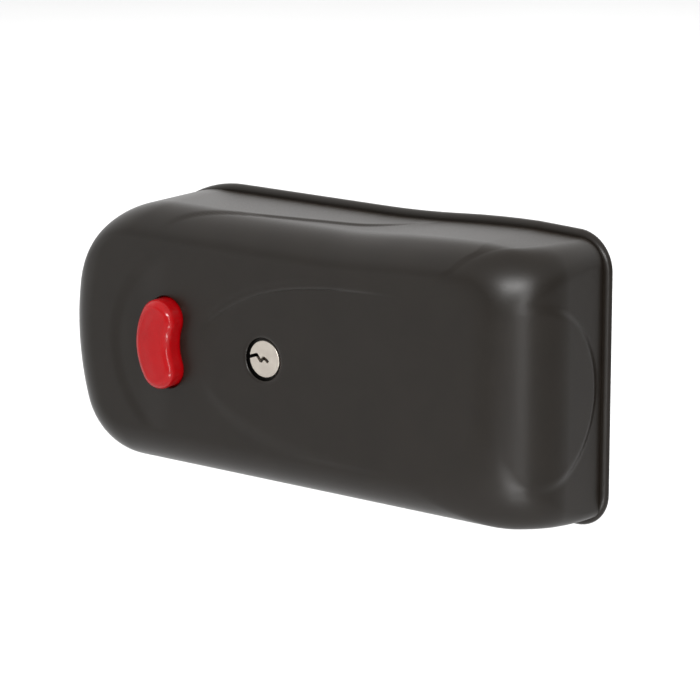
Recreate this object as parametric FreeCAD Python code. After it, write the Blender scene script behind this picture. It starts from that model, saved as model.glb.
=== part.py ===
import FreeCAD, Part
import os
from math import acos, asin, atan2, cos, degrees, pi, radians, sin, sqrt, tan
from FreeCAD import Vector

# Surface-mounted electric gate lock. Millimetres. X runs along the case, the latch points to -X,
# -Y is the front, +Z is up. The wall is the plane y = 0, and the origin lies on it, in line with the
# middle of the cover.

# ---- Driving dimensions ----------------------------------------------------------------------------

# Case outline, seen from the front. The left end is a wide arc, the top steps up towards the right.
COVER_OUTLINE = dict(left=-102.0, right=102.0, bottom=-46.8, top=46.8, top_right=49.4, shoulder=48.8,
                     r_top_left=42.0, r_bottom_left=26.5, r_end=100.0, r_top_right=9.0,
                     r_bottom_right=3.5, step_from=11.0, step_to=75.0)
PLATE_OUTLINE = dict(left=-101.5, right=104.5, bottom=-50.6, top=49.3, top_right=51.9, shoulder=51.3,
                     r_top_left=48.0, r_bottom_left=28.0, r_end=90.0, r_top_right=13.5,
                     r_bottom_right=12.0, step_from=11.0, step_to=75.0)
TIGHTEST_CORNER = 1.0

PLATE_THICK = 2.0
PLATE_EDGE_R = 1.8
PLATE_FRONT = -PLATE_THICK
COVER_DEPTH = 43.0
COVER_WALL = 1.6
COVER_EDGE_R = 13.8
RIGHT_EDGE_R = 24.0      # the rounding between the front face and the right-hand wall
RIGHT_DRAFT = radians(3.0)
CORNER_GROWTH = dict(r_top_right=15.0, r_bottom_right=26.0)  # from the wall to the front
FRONT_CORNER_R = dict(r_top_left=8.0, r_bottom_left=10.0)    # where the front face begins
COVER_RIM = 2.2
ROUNDING_STEPS = 6

# Wall fixing holes and cable entry in the back plate.
FIXING_X = (-74.0, 90.0)
FIXING_Z = (-36.0, 36.0)
FIXING_R = 2.75
GROMMET_AT = (75.0, -25.0)
GROMMET_R = 6.0
GROMMET_BORE_R = 3.5
GROMMET_LENGTH = 6.0

AXIS_Z = -0.5            # height of the latch, the button and the key cylinder
RUN = 0.05               # radial clearance of a turning or sliding fit
SNUG = 0.02              # clearance between pieces that are fixed to each other
GAP = 0.3                # clearance between pieces that only pass each other
SHEET = 1.5              # bracket sheet
M3_R = 1.5
M4_R = 2.0
M4_HOLE_R = M4_R + SNUG
M3_HOLE_R = M3_R + SNUG

# Latch.
LATCH_TRAVEL = 12.6
BOLT_TIP = -116.0
BOLT_REAR = -68.0
BOLT_Y = (-16.0, -4.0)
BOLT_HALF = 11.0
BOLT_SLOPE = 10.0
ROD_Y = -10.0
ROD_R = 2.5
ROD_X = (-80.0, 23.6)
FACE_PLATE_X = (-97.5, -95.5)
BOLT_PIN_X = BOLT_REAR - 6.0
BOLT_PIN_R = 1.5

# Release lever: a bell crank that swings equally to both sides of its middle position.
PIVOT_Y = -24.0
PIVOT_R = 2.0
TINE_ARM = 17.0
BUTTON_TRAVEL = 6.0
SWING = 2 * asin(LATCH_TRAVEL / 2 / TINE_ARM)
PUSH_ARM = BUTTON_TRAVEL / 2 / sin(SWING / 2)
BUTTON_X = -55.2
PIVOT_X = BUTTON_X + PUSH_ARM * (1 + cos(SWING / 2)) / 2
HUB_R = 3.6
ARM_HALF = 1.8
TINE_TIP_R = 3.0
PUSH_TIP_R = 2.2
TINE_Z = (3.3, 5.8)
ROLLER_R = 2.5
ROLLER_PIN_R = 1.2
CHEEK_INNER = 6.4

# Release button: a kidney whose hollow side faces the cylinder.
LOBE_R = 7.2
LOBE_HALF_SPAN = 8.8
LOBE_X = -53.5
BACK_ARC_R = 23.7
WAIST_R = 17.4
BUTTON_FACE = -50.0
BUTTON_SKIRT = -39.6
BUTTON_WALL = 1.8
BUTTON_GAP = 0.4
BUTTON_LIP = 1.6
BUTTON_EDGE_R = 2.2
GUIDE_FLOOR = -33.0
STEM_R = 2.8

# Key cylinder: a round body with a pin stem towards +X.
CYLINDER_X = -10.3
CYLINDER_R = 8.5
CYLINDER_FACE = -40.9
CYLINDER_REAR = -16.4
PLUG_R = 6.5
PLUG_FACE = -41.9
STEM_HALF = 5.0
STEM_END = 24.5
PIN_COUNT = 5
PIN_PITCH = 3.8
FIRST_PIN_Y = -38.2
PIN_R = 1.4
CAM_REAR = -13.8
CAM_REACH = 13.0
CAM_REST = 35.0
COVER_HOLE_R = 7.6

# Solenoid.
SOLENOID_X = (40.0, 86.0)
SOLENOID_Y = -17.2
YOKE_WALL = 2.5
YOKE_HALF = 14.5
COIL_R = 12.4
PLUNGER_R = 5.5
PLUNGER_X = (24.0, 66.0)
CORE_FACE = PLUNGER_X[1] + LATCH_TRAVEL + 0.6

# Terminal block.
BLOCK_X = (32.0, 68.0)
BLOCK_Z = (-42.0, -28.0)
BLOCK_FRONT = -17.0
POLE_PITCH = 11.0

X, Y, Z = Vector(1, 0, 0), Vector(0, 1, 0), Vector(0, 0, 1)


# ---- Shape helpers ---------------------------------------------------------------------------------

def block(x, y, z):
    """Box between the two values of each pair."""
    return Part.makeBox(x[1] - x[0], y[1] - y[0], z[1] - z[0], Vector(x[0], y[0], z[0]))


def bar(r, start, axis, length):
    return Part.makeCylinder(r, length, Vector(*start), axis)


def tube(outer_r, inner_r, start, axis, length):
    return bar(outer_r, start, axis, length).cut(bar(inner_r, start, axis, length))


def fuse(*shapes):
    return shapes[0].fuse(list(shapes[1:])).removeSplitter()


def round_edges(shape, radius, wanted):
    """Round the edges for which wanted(edge) is true."""
    edges = [edge for edge in shape.Edges if wanted(edge)]
    return shape.makeFillet(radius, edges)


def runs_along(edge, axis):
    """True for a straight edge parallel to the axis."""
    ends = [vertex.Point for vertex in edge.Vertexes]
    if len(ends) != 2:
        return False
    run = ends[1] - ends[0]
    return abs(abs(run.dot(axis)) - edge.Length) < 1e-6


def lies_at_y(edge, y):
    return abs(edge.BoundBox.YMin - y) < 1e-6 and abs(edge.BoundBox.YMax - y) < 1e-6


def arc(start, middle, end):
    return Part.Arc(start, middle, end).toShape()


def arc_about(centre, radius, from_deg, to_deg, y):
    """Arc in a plane of constant y, angles counted from +X towards +Z."""
    middle = (from_deg + to_deg) / 2
    points = [Vector(centre[0] + radius * cos(radians(a)), y, centre[1] + radius * sin(radians(a)))
              for a in (from_deg, middle, to_deg)]
    return arc(*points)


def strap(p, q, r_p, r_q, z):
    """Flat link in the XY plane with round ends of radius r_p at p and r_q at q, between two heights."""
    p, q = Vector(p[0], p[1], z[0]), Vector(q[0], q[1], z[0])
    along = (q - p).normalize()
    lean = acos((r_p - r_q) / p.distanceToPoint(q))
    turn = atan2(along.y, along.x)

    def rim(centre, radius, angle):
        return centre + Vector(cos(turn + angle), sin(turn + angle), 0) * radius

    edges = [
        Part.makeLine(rim(p, r_p, lean), rim(q, r_q, lean)),
        arc(rim(q, r_q, lean), rim(q, r_q, 0), rim(q, r_q, -lean)),
        Part.makeLine(rim(q, r_q, -lean), rim(p, r_p, -lean)),
        arc(rim(p, r_p, -lean), rim(p, r_p, pi), rim(p, r_p, lean)),
    ]
    return Part.Face(Part.Wire(edges)).extrude(Vector(0, 0, z[1] - z[0]))


def coil(start, axis, coil_r, wire_r, turns, length, sides=6, steps=12):
    """Helical spring whose wire has a few flat sides."""
    side = Z if abs(axis.dot(Z)) < 0.5 else X
    other = axis.cross(side)
    rings = []
    for i in range(turns * steps + 1):
        angle = 2 * pi * i / steps
        out = side * cos(angle) + other * sin(angle)
        centre = Vector(*start) + out * coil_r + axis * (length * i / (turns * steps))
        rings.append([centre + out * (wire_r * cos(2 * pi * k / sides))
                      + axis * (wire_r * sin(2 * pi * k / sides)) for k in range(sides)])
    faces = [Part.Face(Part.makePolygon(ring + ring[:1])) for ring in (rings[0], rings[-1])]
    for near, far in zip(rings, rings[1:]):
        for k in range(sides):
            m = (k + 1) % sides
            for a, b, c in ((near[k], near[m], far[m]), (near[k], far[m], far[k])):
                faces.append(Part.Face(Part.makePolygon([a, b, c, a])))
    solid = Part.makeSolid(Part.makeShell(faces))
    if solid.Volume < 0:
        solid.reverse()
    return solid


def screw(seat, into, shank_r, length, head_r, head_h):
    """Pan-head screw with a cross recess. The shank runs from the seat along into."""
    seat = Vector(*seat)
    head = Part.makeCylinder(head_r, head_h, seat, into * -1)
    top = seat - into * head_h
    rim = [edge for edge in head.Edges
           if edge.isClosed() and abs((edge.Vertexes[0].Point - top).dot(into)) < 1e-6]
    head = head.makeFillet(head_h * 0.45, rim)
    shank = Part.makeCylinder(shank_r, length, seat, into)
    body = head.fuse(shank)
    side = Z if abs(into.dot(Z)) < 0.5 else X
    other = into.cross(side)
    for u, v in ((side, other), (other, side)):
        half_w, half_l, deep = head_r * 0.13, head_r * 0.6, head_h * 0.6
        corners = [top + u * a * half_l + v * b * half_w for a, b in ((-1, -1), (1, -1), (1, 1), (-1, 1))]
        slot = Part.Face(Part.makePolygon(corners + corners[:1])).extrude(into * deep)
        body = body.cut(slot)
    return body


def m4_screw(seat, into, length):
    return screw(seat, into, M4_R, length, 3.6, 2.4)


def m3_screw(seat, into, length):
    return screw(seat, into, M3_R, length, 2.7, 1.8)


def retaining_clip(centre, axis, groove_r, outer_r, thick):
    """Open spring clip that snaps over a groove."""
    ring = tube(outer_r, groove_r, centre, axis, thick)
    side = X if abs(axis.dot(X)) < 0.5 else Z
    start = Vector(*centre)
    mouth = groove_r * 0.75
    other = axis.cross(side)
    corners = [start + side * a + other * b for a, b in
               ((0, -mouth), (outer_r * 1.2, -mouth), (outer_r * 1.2, mouth), (0, mouth))]
    return ring.cut(Part.Face(Part.makePolygon(corners + corners[:1])).extrude(axis * thick))


def above(*offsets):
    """Heights given from the lock's axis."""
    return tuple(AXIS_Z + offset for offset in offsets)


# ---- Case ------------------------------------------------------------------------------------------

def right_wall_inset(inset, y):
    """How far the cover's right-hand wall is from the outline at depth y, as it leans in and rounds over."""
    centre_y = RIGHT_EDGE_R - COVER_DEPTH
    lean = -COVER_RIM - y
    if y >= centre_y - (RIGHT_EDGE_R - inset) * sin(RIGHT_DRAFT):
        return lean * tan(RIGHT_DRAFT) + inset / cos(RIGHT_DRAFT)
    centre_inset = (-COVER_RIM - centre_y) * tan(RIGHT_DRAFT) + RIGHT_EDGE_R / cos(RIGHT_DRAFT)
    return centre_inset - sqrt(max((RIGHT_EDGE_R - inset) ** 2 - (centre_y - y) ** 2, 0))


def case_wire(outline, inset, y, right_inset=None, corners=None):
    """The case outline, drawn in by inset, in the plane of constant y.

    The right-hand side can have its own inset, and any corner its own radius.
    """
    left, right = outline["left"] + inset, outline["right"] - (inset if right_inset is None else right_inset)
    bottom, top = outline["bottom"] + inset, outline["top"] - inset
    crest, shoulder = outline["top_right"] - inset, outline["shoulder"] - inset
    corner = {name: max(outline[name] - inset, TIGHTEST_CORNER)
              for name in ("r_top_left", "r_bottom_left", "r_top_right", "r_bottom_right")}
    corner.update(corners or {})
    end_r = outline["r_end"] - inset
    end_x = left + end_r

    def blend_centre(radius, z):
        """Centre of a corner that touches the end arc from inside."""
        return end_x - sqrt((end_r - radius) ** 2 - z ** 2), z

    upper = blend_centre(corner["r_top_left"], top - corner["r_top_left"])
    lower = blend_centre(corner["r_bottom_left"], bottom + corner["r_bottom_left"])
    upper_deg = degrees(atan2(upper[1], upper[0] - end_x))
    lower_deg = degrees(atan2(lower[1], lower[0] - end_x)) + 360

    def at(x, z):
        return Vector(x, y, z)

    top_corner = (right - corner["r_top_right"], shoulder - corner["r_top_right"])
    low_corner = (right - corner["r_bottom_right"], bottom + corner["r_bottom_right"])
    step_to = min(outline["step_to"], top_corner[0] - 2)
    run, rise = step_to - outline["step_from"], crest - top
    step_r = (run ** 2 + rise ** 2) / (4 * rise)
    half = asin(run / 2 / step_r) / 2
    start, end = at(outline["step_from"], top), at(step_to, crest)
    middle = at((start.x + end.x) / 2, (start.z + end.z) / 2)
    bulge = Vector(step_r * sin(half), 0, step_r * (1 - cos(half)))
    edges = [
        arc_about(upper, corner["r_top_left"], upper_deg, 90, y),
        Part.makeLine(at(upper[0], top), start),
        arc(start, start + bulge, middle),
        arc(middle, end - bulge, end),
        Part.makeLine(end, at(top_corner[0], shoulder)),
        arc_about(top_corner, corner["r_top_right"], 90, 0, y),
        Part.makeLine(at(right, top_corner[1]), at(right, low_corner[1])),
        arc_about(low_corner, corner["r_bottom_right"], 0, -90, y),
        Part.makeLine(at(low_corner[0], bottom), at(lower[0], bottom)),
        arc_about(lower, corner["r_bottom_left"], 270, lower_deg, y),
        arc_about((end_x, 0), end_r, lower_deg, upper_deg, y),
    ]
    return Part.Wire(edges)


def cover_section(inset, drawn_in, y):
    """Section of the cover's skin: inset says which skin, drawn_in how far the front edge has rounded over."""
    rounded = (drawn_in - inset) / (COVER_EDGE_R - inset)
    depth = (max(-COVER_RIM - y, 0) / (COVER_DEPTH - COVER_RIM)) ** 2.5
    corners = {}
    for name, front_r in FRONT_CORNER_R.items():
        corners[name] = (COVER_OUTLINE[name] - inset) * (1 - rounded) + (front_r - inset) * rounded
    for name, growth in CORNER_GROWTH.items():
        corners[name] = max(COVER_OUTLINE[name] - drawn_in, TIGHTEST_CORNER) + growth * depth
    return case_wire(COVER_OUTLINE, drawn_in, y, right_wall_inset(inset, y), corners)


def domed_case(inset, rim_y):
    """Solid case form: nearly straight walls, then a rounded front edge."""
    edge_r = COVER_EDGE_R - inset
    straight = COVER_DEPTH - COVER_EDGE_R
    wires = [cover_section(inset, inset, y) for y in (rim_y, RIGHT_EDGE_R - COVER_DEPTH, -24.0, -straight)]
    for step in range(1, ROUNDING_STEPS + 1):
        angle = radians(90 * step / ROUNDING_STEPS)
        wires.append(cover_section(inset, inset + edge_r * (1 - cos(angle)), -straight - edge_r * sin(angle)))
    return Part.makeLoft(wires, True, True)


def kidney_wire(y, grow):
    """Outline of the release button, grown outwards."""
    back = (LOBE_X + sqrt((BACK_ARC_R - LOBE_R) ** 2 - LOBE_HALF_SPAN ** 2), AXIS_Z)
    waist = (LOBE_X + sqrt((WAIST_R + LOBE_R) ** 2 - LOBE_HALF_SPAN ** 2), AXIS_Z)
    back_deg = degrees(atan2(LOBE_HALF_SPAN, LOBE_X - back[0]))
    waist_deg = degrees(atan2(LOBE_HALF_SPAN, LOBE_X - waist[0]))
    upper, lower = (LOBE_X, AXIS_Z + LOBE_HALF_SPAN), (LOBE_X, AXIS_Z - LOBE_HALF_SPAN)
    edges = [
        arc_about(back, BACK_ARC_R + grow, 360 - back_deg, back_deg, y),
        arc_about(upper, LOBE_R + grow, back_deg, waist_deg - 180, y),
        arc_about(waist, WAIST_R - grow, waist_deg, 360 - waist_deg, y),
        arc_about(lower, LOBE_R + grow, 180 - waist_deg, -back_deg, y),
    ]
    return Part.Wire(edges)


def kidney(y, grow):
    return Part.Face(kidney_wire(y[0], grow)).extrude(Vector(0, y[1] - y[0], 0))


COVER_INNER = -COVER_DEPTH + COVER_WALL
STUD_Z = (24.0, -24.0)
STUD_LENGTH = 6.5
SLOT_HALF = 2.3
SLOT_Z = (-50.0, -44.0)
LUG_X = (-50.0, 80.0)
LUG_SCREW_Y = -9.0
LUG_TOP = COVER_OUTLINE["bottom"] + COVER_WALL + GAP


def front_cover():
    shell = domed_case(0, -COVER_RIM).cut(domed_case(COVER_WALL, 0))
    front = (-COVER_DEPTH - 1, -COVER_DEPTH + COVER_EDGE_R)
    shell = shell.cut(kidney(front, BUTTON_GAP))
    shell = shell.cut(bar(COVER_HOLE_R, (CYLINDER_X, front[0], AXIS_Z), Y, front[1] - front[0]))
    shell = shell.cut(block((-104, -93), (BOLT_Y[0] - 1, 0), above(-BOLT_HALF - 1.5, BOLT_HALF + 1.5)))
    for x in LUG_X:
        round_end = bar(SLOT_HALF, (x, LUG_SCREW_Y, SLOT_Z[0]), Z, SLOT_Z[1] - SLOT_Z[0])
        shell = shell.cut(fuse(round_end, block((x - SLOT_HALF, x + SLOT_HALF), (LUG_SCREW_Y, 0), SLOT_Z)))
    studs = [bar(M3_R, (BUTTON_X, COVER_INNER - 0.5, AXIS_Z + z), Y, STUD_LENGTH) for z in STUD_Z]
    return fuse(shell, *studs)


def back_plate():
    plate = Part.Face(case_wire(PLATE_OUTLINE, 0, 0)).extrude(Vector(0, -PLATE_THICK, 0))
    plate = round_edges(plate, PLATE_EDGE_R, lambda edge: lies_at_y(edge, PLATE_FRONT))
    holes = [bar(FIXING_R, (x, PLATE_FRONT - 1, z), Y, 4) for x in FIXING_X for z in FIXING_Z]
    holes.append(bar(GROMMET_R, (GROMMET_AT[0], PLATE_FRONT - 1, GROMMET_AT[1]), Y, 4))
    holes += [bar(M4_HOLE_R, (x, PLATE_FRONT - 1, z), Y, 4) for x, z in plate_screw_places()]
    holes += [bar(M3_HOLE_R, (x, PLATE_FRONT - 1, z), Y, 4) for x, z in block_screw_places()]
    holes += [countersunk((x, 0, AXIS_Z), SNUG) for x in YOKE_SCREW_X]
    return plate.cut(holes)


def cover_lugs():
    lugs = []
    for x in LUG_X:
        foot = block((x - 6, x + 6), (PLATE_FRONT - SHEET, PLATE_FRONT), (LUG_TOP, LUG_TOP + 12))
        wall = block((x - 6, x + 6), (-15, PLATE_FRONT), (LUG_TOP, LUG_TOP + SHEET))
        nut = bar(3.4, (x, LUG_SCREW_Y, LUG_TOP), Z, 4.0)
        hole = bar(M4_HOLE_R, (x, LUG_SCREW_Y, LUG_TOP - 1), Z, 6)
        lugs.append(fuse(foot, wall, nut).cut(hole))
    return lugs


def cover_screws():
    return [m4_screw((x, LUG_SCREW_Y, COVER_OUTLINE["bottom"] - GAP), Z, 7) for x in LUG_X]


def cable_grommet():
    x, z = GROMMET_AT
    waist = tube(GROMMET_R - SNUG, GROMMET_BORE_R, (x, PLATE_FRONT, z), Y, PLATE_THICK)
    collar = tube(GROMMET_R + 1.5, GROMMET_BORE_R, (x, -GROMMET_LENGTH, z), Y, GROMMET_LENGTH - PLATE_THICK)
    collar = round_edges(collar, 0.8, lambda edge: lies_at_y(edge, -GROMMET_LENGTH)
                         and edge.BoundBox.XLength > 2 * GROMMET_R)
    return [fuse(collar, waist)]


# ---- Latch -----------------------------------------------------------------------------------------

def latch_bolt():
    x, y, z = (BOLT_TIP, BOLT_REAR), BOLT_Y, above(-BOLT_HALF, BOLT_HALF)
    corners = [(x[0], y[1]), (x[1], y[1]), (x[1], y[0]), (x[0] + BOLT_SLOPE, y[0]), (x[0], y[1] - 4)]
    points = [Vector(a, b, z[0]) for a, b in corners]
    bolt = Part.Face(Part.makePolygon(points + points[:1])).extrude(Vector(0, 0, z[1] - z[0]))
    bolt = bolt.makeFillet(0.8, bolt.Edges)
    bolt = bolt.cut(bar(ROD_R + SNUG, (ROD_X[0], ROD_Y, AXIS_Z), X, 20))
    return [bolt.cut(bar(BOLT_PIN_R + SNUG, (BOLT_PIN_X, ROD_Y, z[0] - 1), Z, 30))]


def bolt_pin():
    return [bar(BOLT_PIN_R, (BOLT_PIN_X, ROD_Y, AXIS_Z - BOLT_HALF + 0.3), Z, 2 * BOLT_HALF - 0.6)]


def latch_rod():
    rod = bar(ROD_R, (ROD_X[0], ROD_Y, AXIS_Z), X, ROD_X[1] - ROD_X[0])
    rod = rod.cut(block((LINK_ROD_X - 5, ROD_X[1] + 1), (-14, -6), above(*LINK_ROOM)))
    holes = [(BOLT_PIN_X, BOLT_PIN_R), (COLLAR_PIN_X, CROSS_PIN_R), (DOG_PIN_X, CROSS_PIN_R),
             (LINK_ROD_X, LINK_ROD_PIN_R)]
    return [rod.cut([bar(r + SNUG, (x, ROD_Y, AXIS_Z - 4), Z, 8) for x, r in holes])]


def tine_tip(swing):
    return PIVOT_X + TINE_ARM * sin(swing), PIVOT_Y + TINE_ARM * cos(swing)


COLLAR_TOE = PIVOT_X - TINE_ARM * sin(SWING / 2) + TINE_TIP_R + GAP
COLLAR_X = (COLLAR_TOE + 2.4, COLLAR_TOE + 7.4)
TOE_Y = (-9.2, -4.0)
COLLAR_HALF = 5.9
COLLAR_PIN_X = COLLAR_X[0] + 2.5
DOG_X = (-3.4, 0.6)
DOG_PIN_X = DOG_X[0] + 2.0
CROSS_PIN_R = 1.0
LINK_ROD_X = 19.5
LINK_ROD_PIN_R = 1.25
LINK_PLUNGER_X = 29.0
LINK_PLUNGER_PIN_R = 1.5
LINK_HALF = 1.0
LINK_ROOM = (-LINK_HALF - 0.1, LINK_HALF + 0.1)
GUIDE_X = (-20.5, -18.5)


def drive_collar():
    body = block(COLLAR_X, (-15, -4), above(-COLLAR_HALF, COLLAR_HALF))
    body = fuse(body, block((COLLAR_TOE, COLLAR_X[0]), TOE_Y, above(-COLLAR_HALF, COLLAR_HALF)))
    body = body.cut(bar(ROD_R + SNUG, (COLLAR_TOE - 1, ROD_Y, AXIS_Z), X, 10))
    return [body.cut(bar(CROSS_PIN_R + SNUG, (COLLAR_PIN_X, ROD_Y, AXIS_Z - 7), Z, 14))]


def collar_pin():
    return [bar(CROSS_PIN_R, (COLLAR_PIN_X, ROD_Y, AXIS_Z - COLLAR_HALF + 0.2), Z, 2 * COLLAR_HALF - 0.4)]


def key_dog():
    hub = block(DOG_X, (-13, -7), above(-15.5, 3.5))
    tooth = block(DOG_X, (CYLINDER_REAR + 0.3, -13), above(-15.5, -9.5))
    dog = fuse(hub, tooth).cut(bar(ROD_R + SNUG, (DOG_X[0] - 1, ROD_Y, AXIS_Z), X, 6))
    return [dog.cut(bar(CROSS_PIN_R + SNUG, (DOG_PIN_X, ROD_Y, AXIS_Z - 4), Z, 8))]


def dog_pin():
    return [bar(CROSS_PIN_R, (DOG_PIN_X, ROD_Y, AXIS_Z - 3.6), Z, 7.0)]


def latch_spring():
    wire_r, clear = 0.5, 0.1
    start = COLLAR_X[1] + clear + wire_r
    length = GUIDE_X[0] - clear - wire_r - start
    return [coil((start, ROD_Y, AXIS_Z), X, 3.9, wire_r, 8, length)]


def latch_face_plate():
    upright = block(FACE_PLATE_X, (-19, PLATE_FRONT), above(-17, 17))
    window = block((-99, -93), (BOLT_Y[0] - GAP, BOLT_Y[1] + GAP), above(-BOLT_HALF - GAP, BOLT_HALF + GAP))
    foot = block((FACE_PLATE_X[0], -84), (PLATE_FRONT - SHEET, PLATE_FRONT), above(-19.8, 19.8))
    holes = [bar(M4_HOLE_R, (x, -5, z), Y, 5) for x, z in FACE_SCREWS]
    return [fuse(upright.cut(window), foot).cut(holes)]


def rear_guide():
    upright = block(GUIDE_X, (-14.5, PLATE_FRONT), above(-8, 8))
    upright = round_edges(upright, 3.5, lambda edge: runs_along(edge, X) and edge.BoundBox.YMax < -10)
    foot = block((GUIDE_X[0], -7.0), (PLATE_FRONT - SHEET, PLATE_FRONT), above(-8, 8))
    body = fuse(upright, foot).cut(bar(ROD_R + RUN, (GUIDE_X[0] - 2, ROD_Y, AXIS_Z), X, 6))
    return [body.cut([bar(M4_HOLE_R, (x, -5, z), Y, 5) for x, z in GUIDE_SCREWS])]


# ---- Release lever ---------------------------------------------------------------------------------

CHEEK_HALF = 7.0
CHEEK_X = (PIVOT_X - CHEEK_HALF, PIVOT_X + CHEEK_HALF)
FACE_SCREWS = [(-88.5, AXIS_Z - 15.8), (-88.5, AXIS_Z + 15.8)]
GUIDE_SCREWS = [(-12.5, AXIS_Z)]
BRACKET_SCREWS = [(PIVOT_X, AXIS_Z - 13.0), (PIVOT_X, AXIS_Z + 13.0)]
CYLINDER_SCREWS = [(CYLINDER_X, AXIS_Z + 21.0), (CYLINDER_X, AXIS_Z - 26.0)]
EARTH_SCREW = [(62.0, 32.0)]


def plate_screw_places():
    return FACE_SCREWS + GUIDE_SCREWS + BRACKET_SCREWS + CYLINDER_SCREWS + EARTH_SCREW


def sheet_screws(places):
    seat = PLATE_FRONT - SHEET
    return [m4_screw((x, seat, z), Y, -seat - 0.2) for x, z in places]


def lever_bracket():
    base = block(CHEEK_X, (PLATE_FRONT - SHEET, PLATE_FRONT), above(-18, 18))
    pieces = [base]
    for side in (-1, 1):
        z = sorted(above(side * CHEEK_INNER, side * (CHEEK_INNER + SHEET)))
        cheek = block(CHEEK_X, (PIVOT_Y, PLATE_FRONT), z)
        pieces += [cheek, bar(CHEEK_HALF, (PIVOT_X, PIVOT_Y, z[0]), Z, SHEET)]
    body = fuse(*pieces).cut(bar(PIVOT_R + SNUG, (PIVOT_X, PIVOT_Y, AXIS_Z - 12), Z, 24))
    return [body.cut([bar(M4_HOLE_R, (x, -5, z), Y, 5) for x, z in BRACKET_SCREWS])]


def push_arm_tip(swing):
    return PIVOT_X - PUSH_ARM * cos(swing), PIVOT_Y + PUSH_ARM * sin(swing)


def release_lever():
    pivot, rest = (PIVOT_X, PIVOT_Y), -SWING / 2
    hub = bar(HUB_R, (PIVOT_X, PIVOT_Y, AXIS_Z - TINE_Z[1]), Z, 2 * TINE_Z[1])
    pieces = [hub]
    for side in (-1, 1):
        z = sorted(above(side * TINE_Z[0], side * TINE_Z[1]))
        pieces.append(strap(pivot, tine_tip(rest), HUB_R - 0.2, ARM_HALF, z))
        pieces.append(bar(TINE_TIP_R, (*tine_tip(rest), z[0]), Z, z[1] - z[0]))
        pieces.append(strap(pivot, push_arm_tip(rest), HUB_R - 0.2, PUSH_TIP_R, z))
    body = fuse(*pieces)
    middle = above(-TINE_Z[0], TINE_Z[0])
    roller_room = bar(ROLLER_R + GAP, (*push_arm_tip(rest), middle[0]), Z, middle[1] - middle[0])
    roller_hole = bar(ROLLER_PIN_R + SNUG, (*push_arm_tip(rest), AXIS_Z - 8), Z, 16)
    return [body.cut([bar(PIVOT_R + RUN, (*pivot, AXIS_Z - 8), Z, 16), roller_room, roller_hole])]


def push_roller():
    half = TINE_Z[0] - 0.15
    return [tube(ROLLER_R, ROLLER_PIN_R + RUN, (*push_arm_tip(-SWING / 2), AXIS_Z - half), Z, 2 * half)]


def roller_pin():
    half = TINE_Z[1]
    return [bar(ROLLER_PIN_R, (*push_arm_tip(-SWING / 2), AXIS_Z - half), Z, 2 * half)]


PIN_END = CHEEK_INNER + SHEET + 2.0


def pivot_pin():
    shaft = bar(PIVOT_R, (PIVOT_X, PIVOT_Y, AXIS_Z - PIN_END), Z, 2 * PIN_END)
    groove = tube(PIVOT_R + 1, PIVOT_R - 0.5, (PIVOT_X, PIVOT_Y, AXIS_Z + PIN_END - 1.6), Z, 0.8)
    head = bar(3.4, (PIVOT_X, PIVOT_Y, AXIS_Z - PIN_END), Z, 1.9)
    return [fuse(shaft.cut(groove), head)]


def pivot_clip():
    centre = (PIVOT_X, PIVOT_Y, AXIS_Z + PIN_END - 1.55)
    return [retaining_clip(centre, Z, PIVOT_R - 0.5 + SNUG, 3.8, 0.7)]


# ---- Release button --------------------------------------------------------------------------------

SPRING_SEAT = -44.0
STEM_ROOT = BUTTON_FACE + 2.6
CAP_BOSS_R = 4.2
LIP_THICK = 1.2
STEM_TIP = PIVOT_Y - PUSH_ARM * sin(SWING / 2) - ROLLER_R - GAP


def button_cap():
    cap = kidney((BUTTON_SKIRT, BUTTON_FACE), 0)
    cap = round_edges(cap, BUTTON_EDGE_R, lambda edge: lies_at_y(edge, BUTTON_FACE))
    hollow = kidney((BUTTON_SKIRT, BUTTON_FACE + BUTTON_WALL), -BUTTON_WALL)
    boss_root = BUTTON_FACE + BUTTON_WALL / 2
    boss = bar(CAP_BOSS_R, (BUTTON_X, boss_root, AXIS_Z), Y, SPRING_SEAT - boss_root)
    lip = kidney((BUTTON_SKIRT - LIP_THICK, BUTTON_SKIRT), BUTTON_LIP)
    cap = fuse(fuse(cap, lip).cut(hollow), boss)
    return [cap.cut(bar(STEM_R + SNUG, (BUTTON_X, STEM_ROOT - 0.1, AXIS_Z), Y, 8))]


def button_stem():
    stem = bar(STEM_R, (BUTTON_X, STEM_ROOT, AXIS_Z), Y, STEM_TIP - STEM_ROOT)
    return [round_edges(stem, 0.6, lambda edge: lies_at_y(edge, STEM_TIP))]


def button_spring():
    wire_r, clear = 0.4, 0.05
    start = GUIDE_FLOOR - clear - wire_r
    length = start - SPRING_SEAT - clear - wire_r
    return [coil((BUTTON_X, start, AXIS_Z), Y * -1, 3.7, wire_r, 5, length)]


def button_guide():
    x = (BUTTON_X - 8, BUTTON_X + 8)
    leg_from, leg_to, flange_to = 19.0, 19.0 + SHEET, 29.0
    pieces = [block(x, (GUIDE_FLOOR, GUIDE_FLOOR + SHEET), above(-leg_to, leg_to))]
    for side in (-1, 1):
        leg = sorted(above(side * leg_from, side * leg_to))
        flange = sorted(above(side * leg_from, side * flange_to))
        pieces.append(block(x, (COVER_INNER, GUIDE_FLOOR + SHEET), leg))
        pieces.append(block(x, (COVER_INNER, COVER_INNER + SHEET), flange))
    body = fuse(*pieces).cut(bar(STEM_R + RUN, (BUTTON_X, GUIDE_FLOOR - 1, AXIS_Z), Y, 4))
    return [body.cut([bar(M3_HOLE_R, (BUTTON_X, COVER_INNER - 1, AXIS_Z + z), Y, 4) for z in STUD_Z])]


NUT_CORNER_R = 3.17


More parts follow.
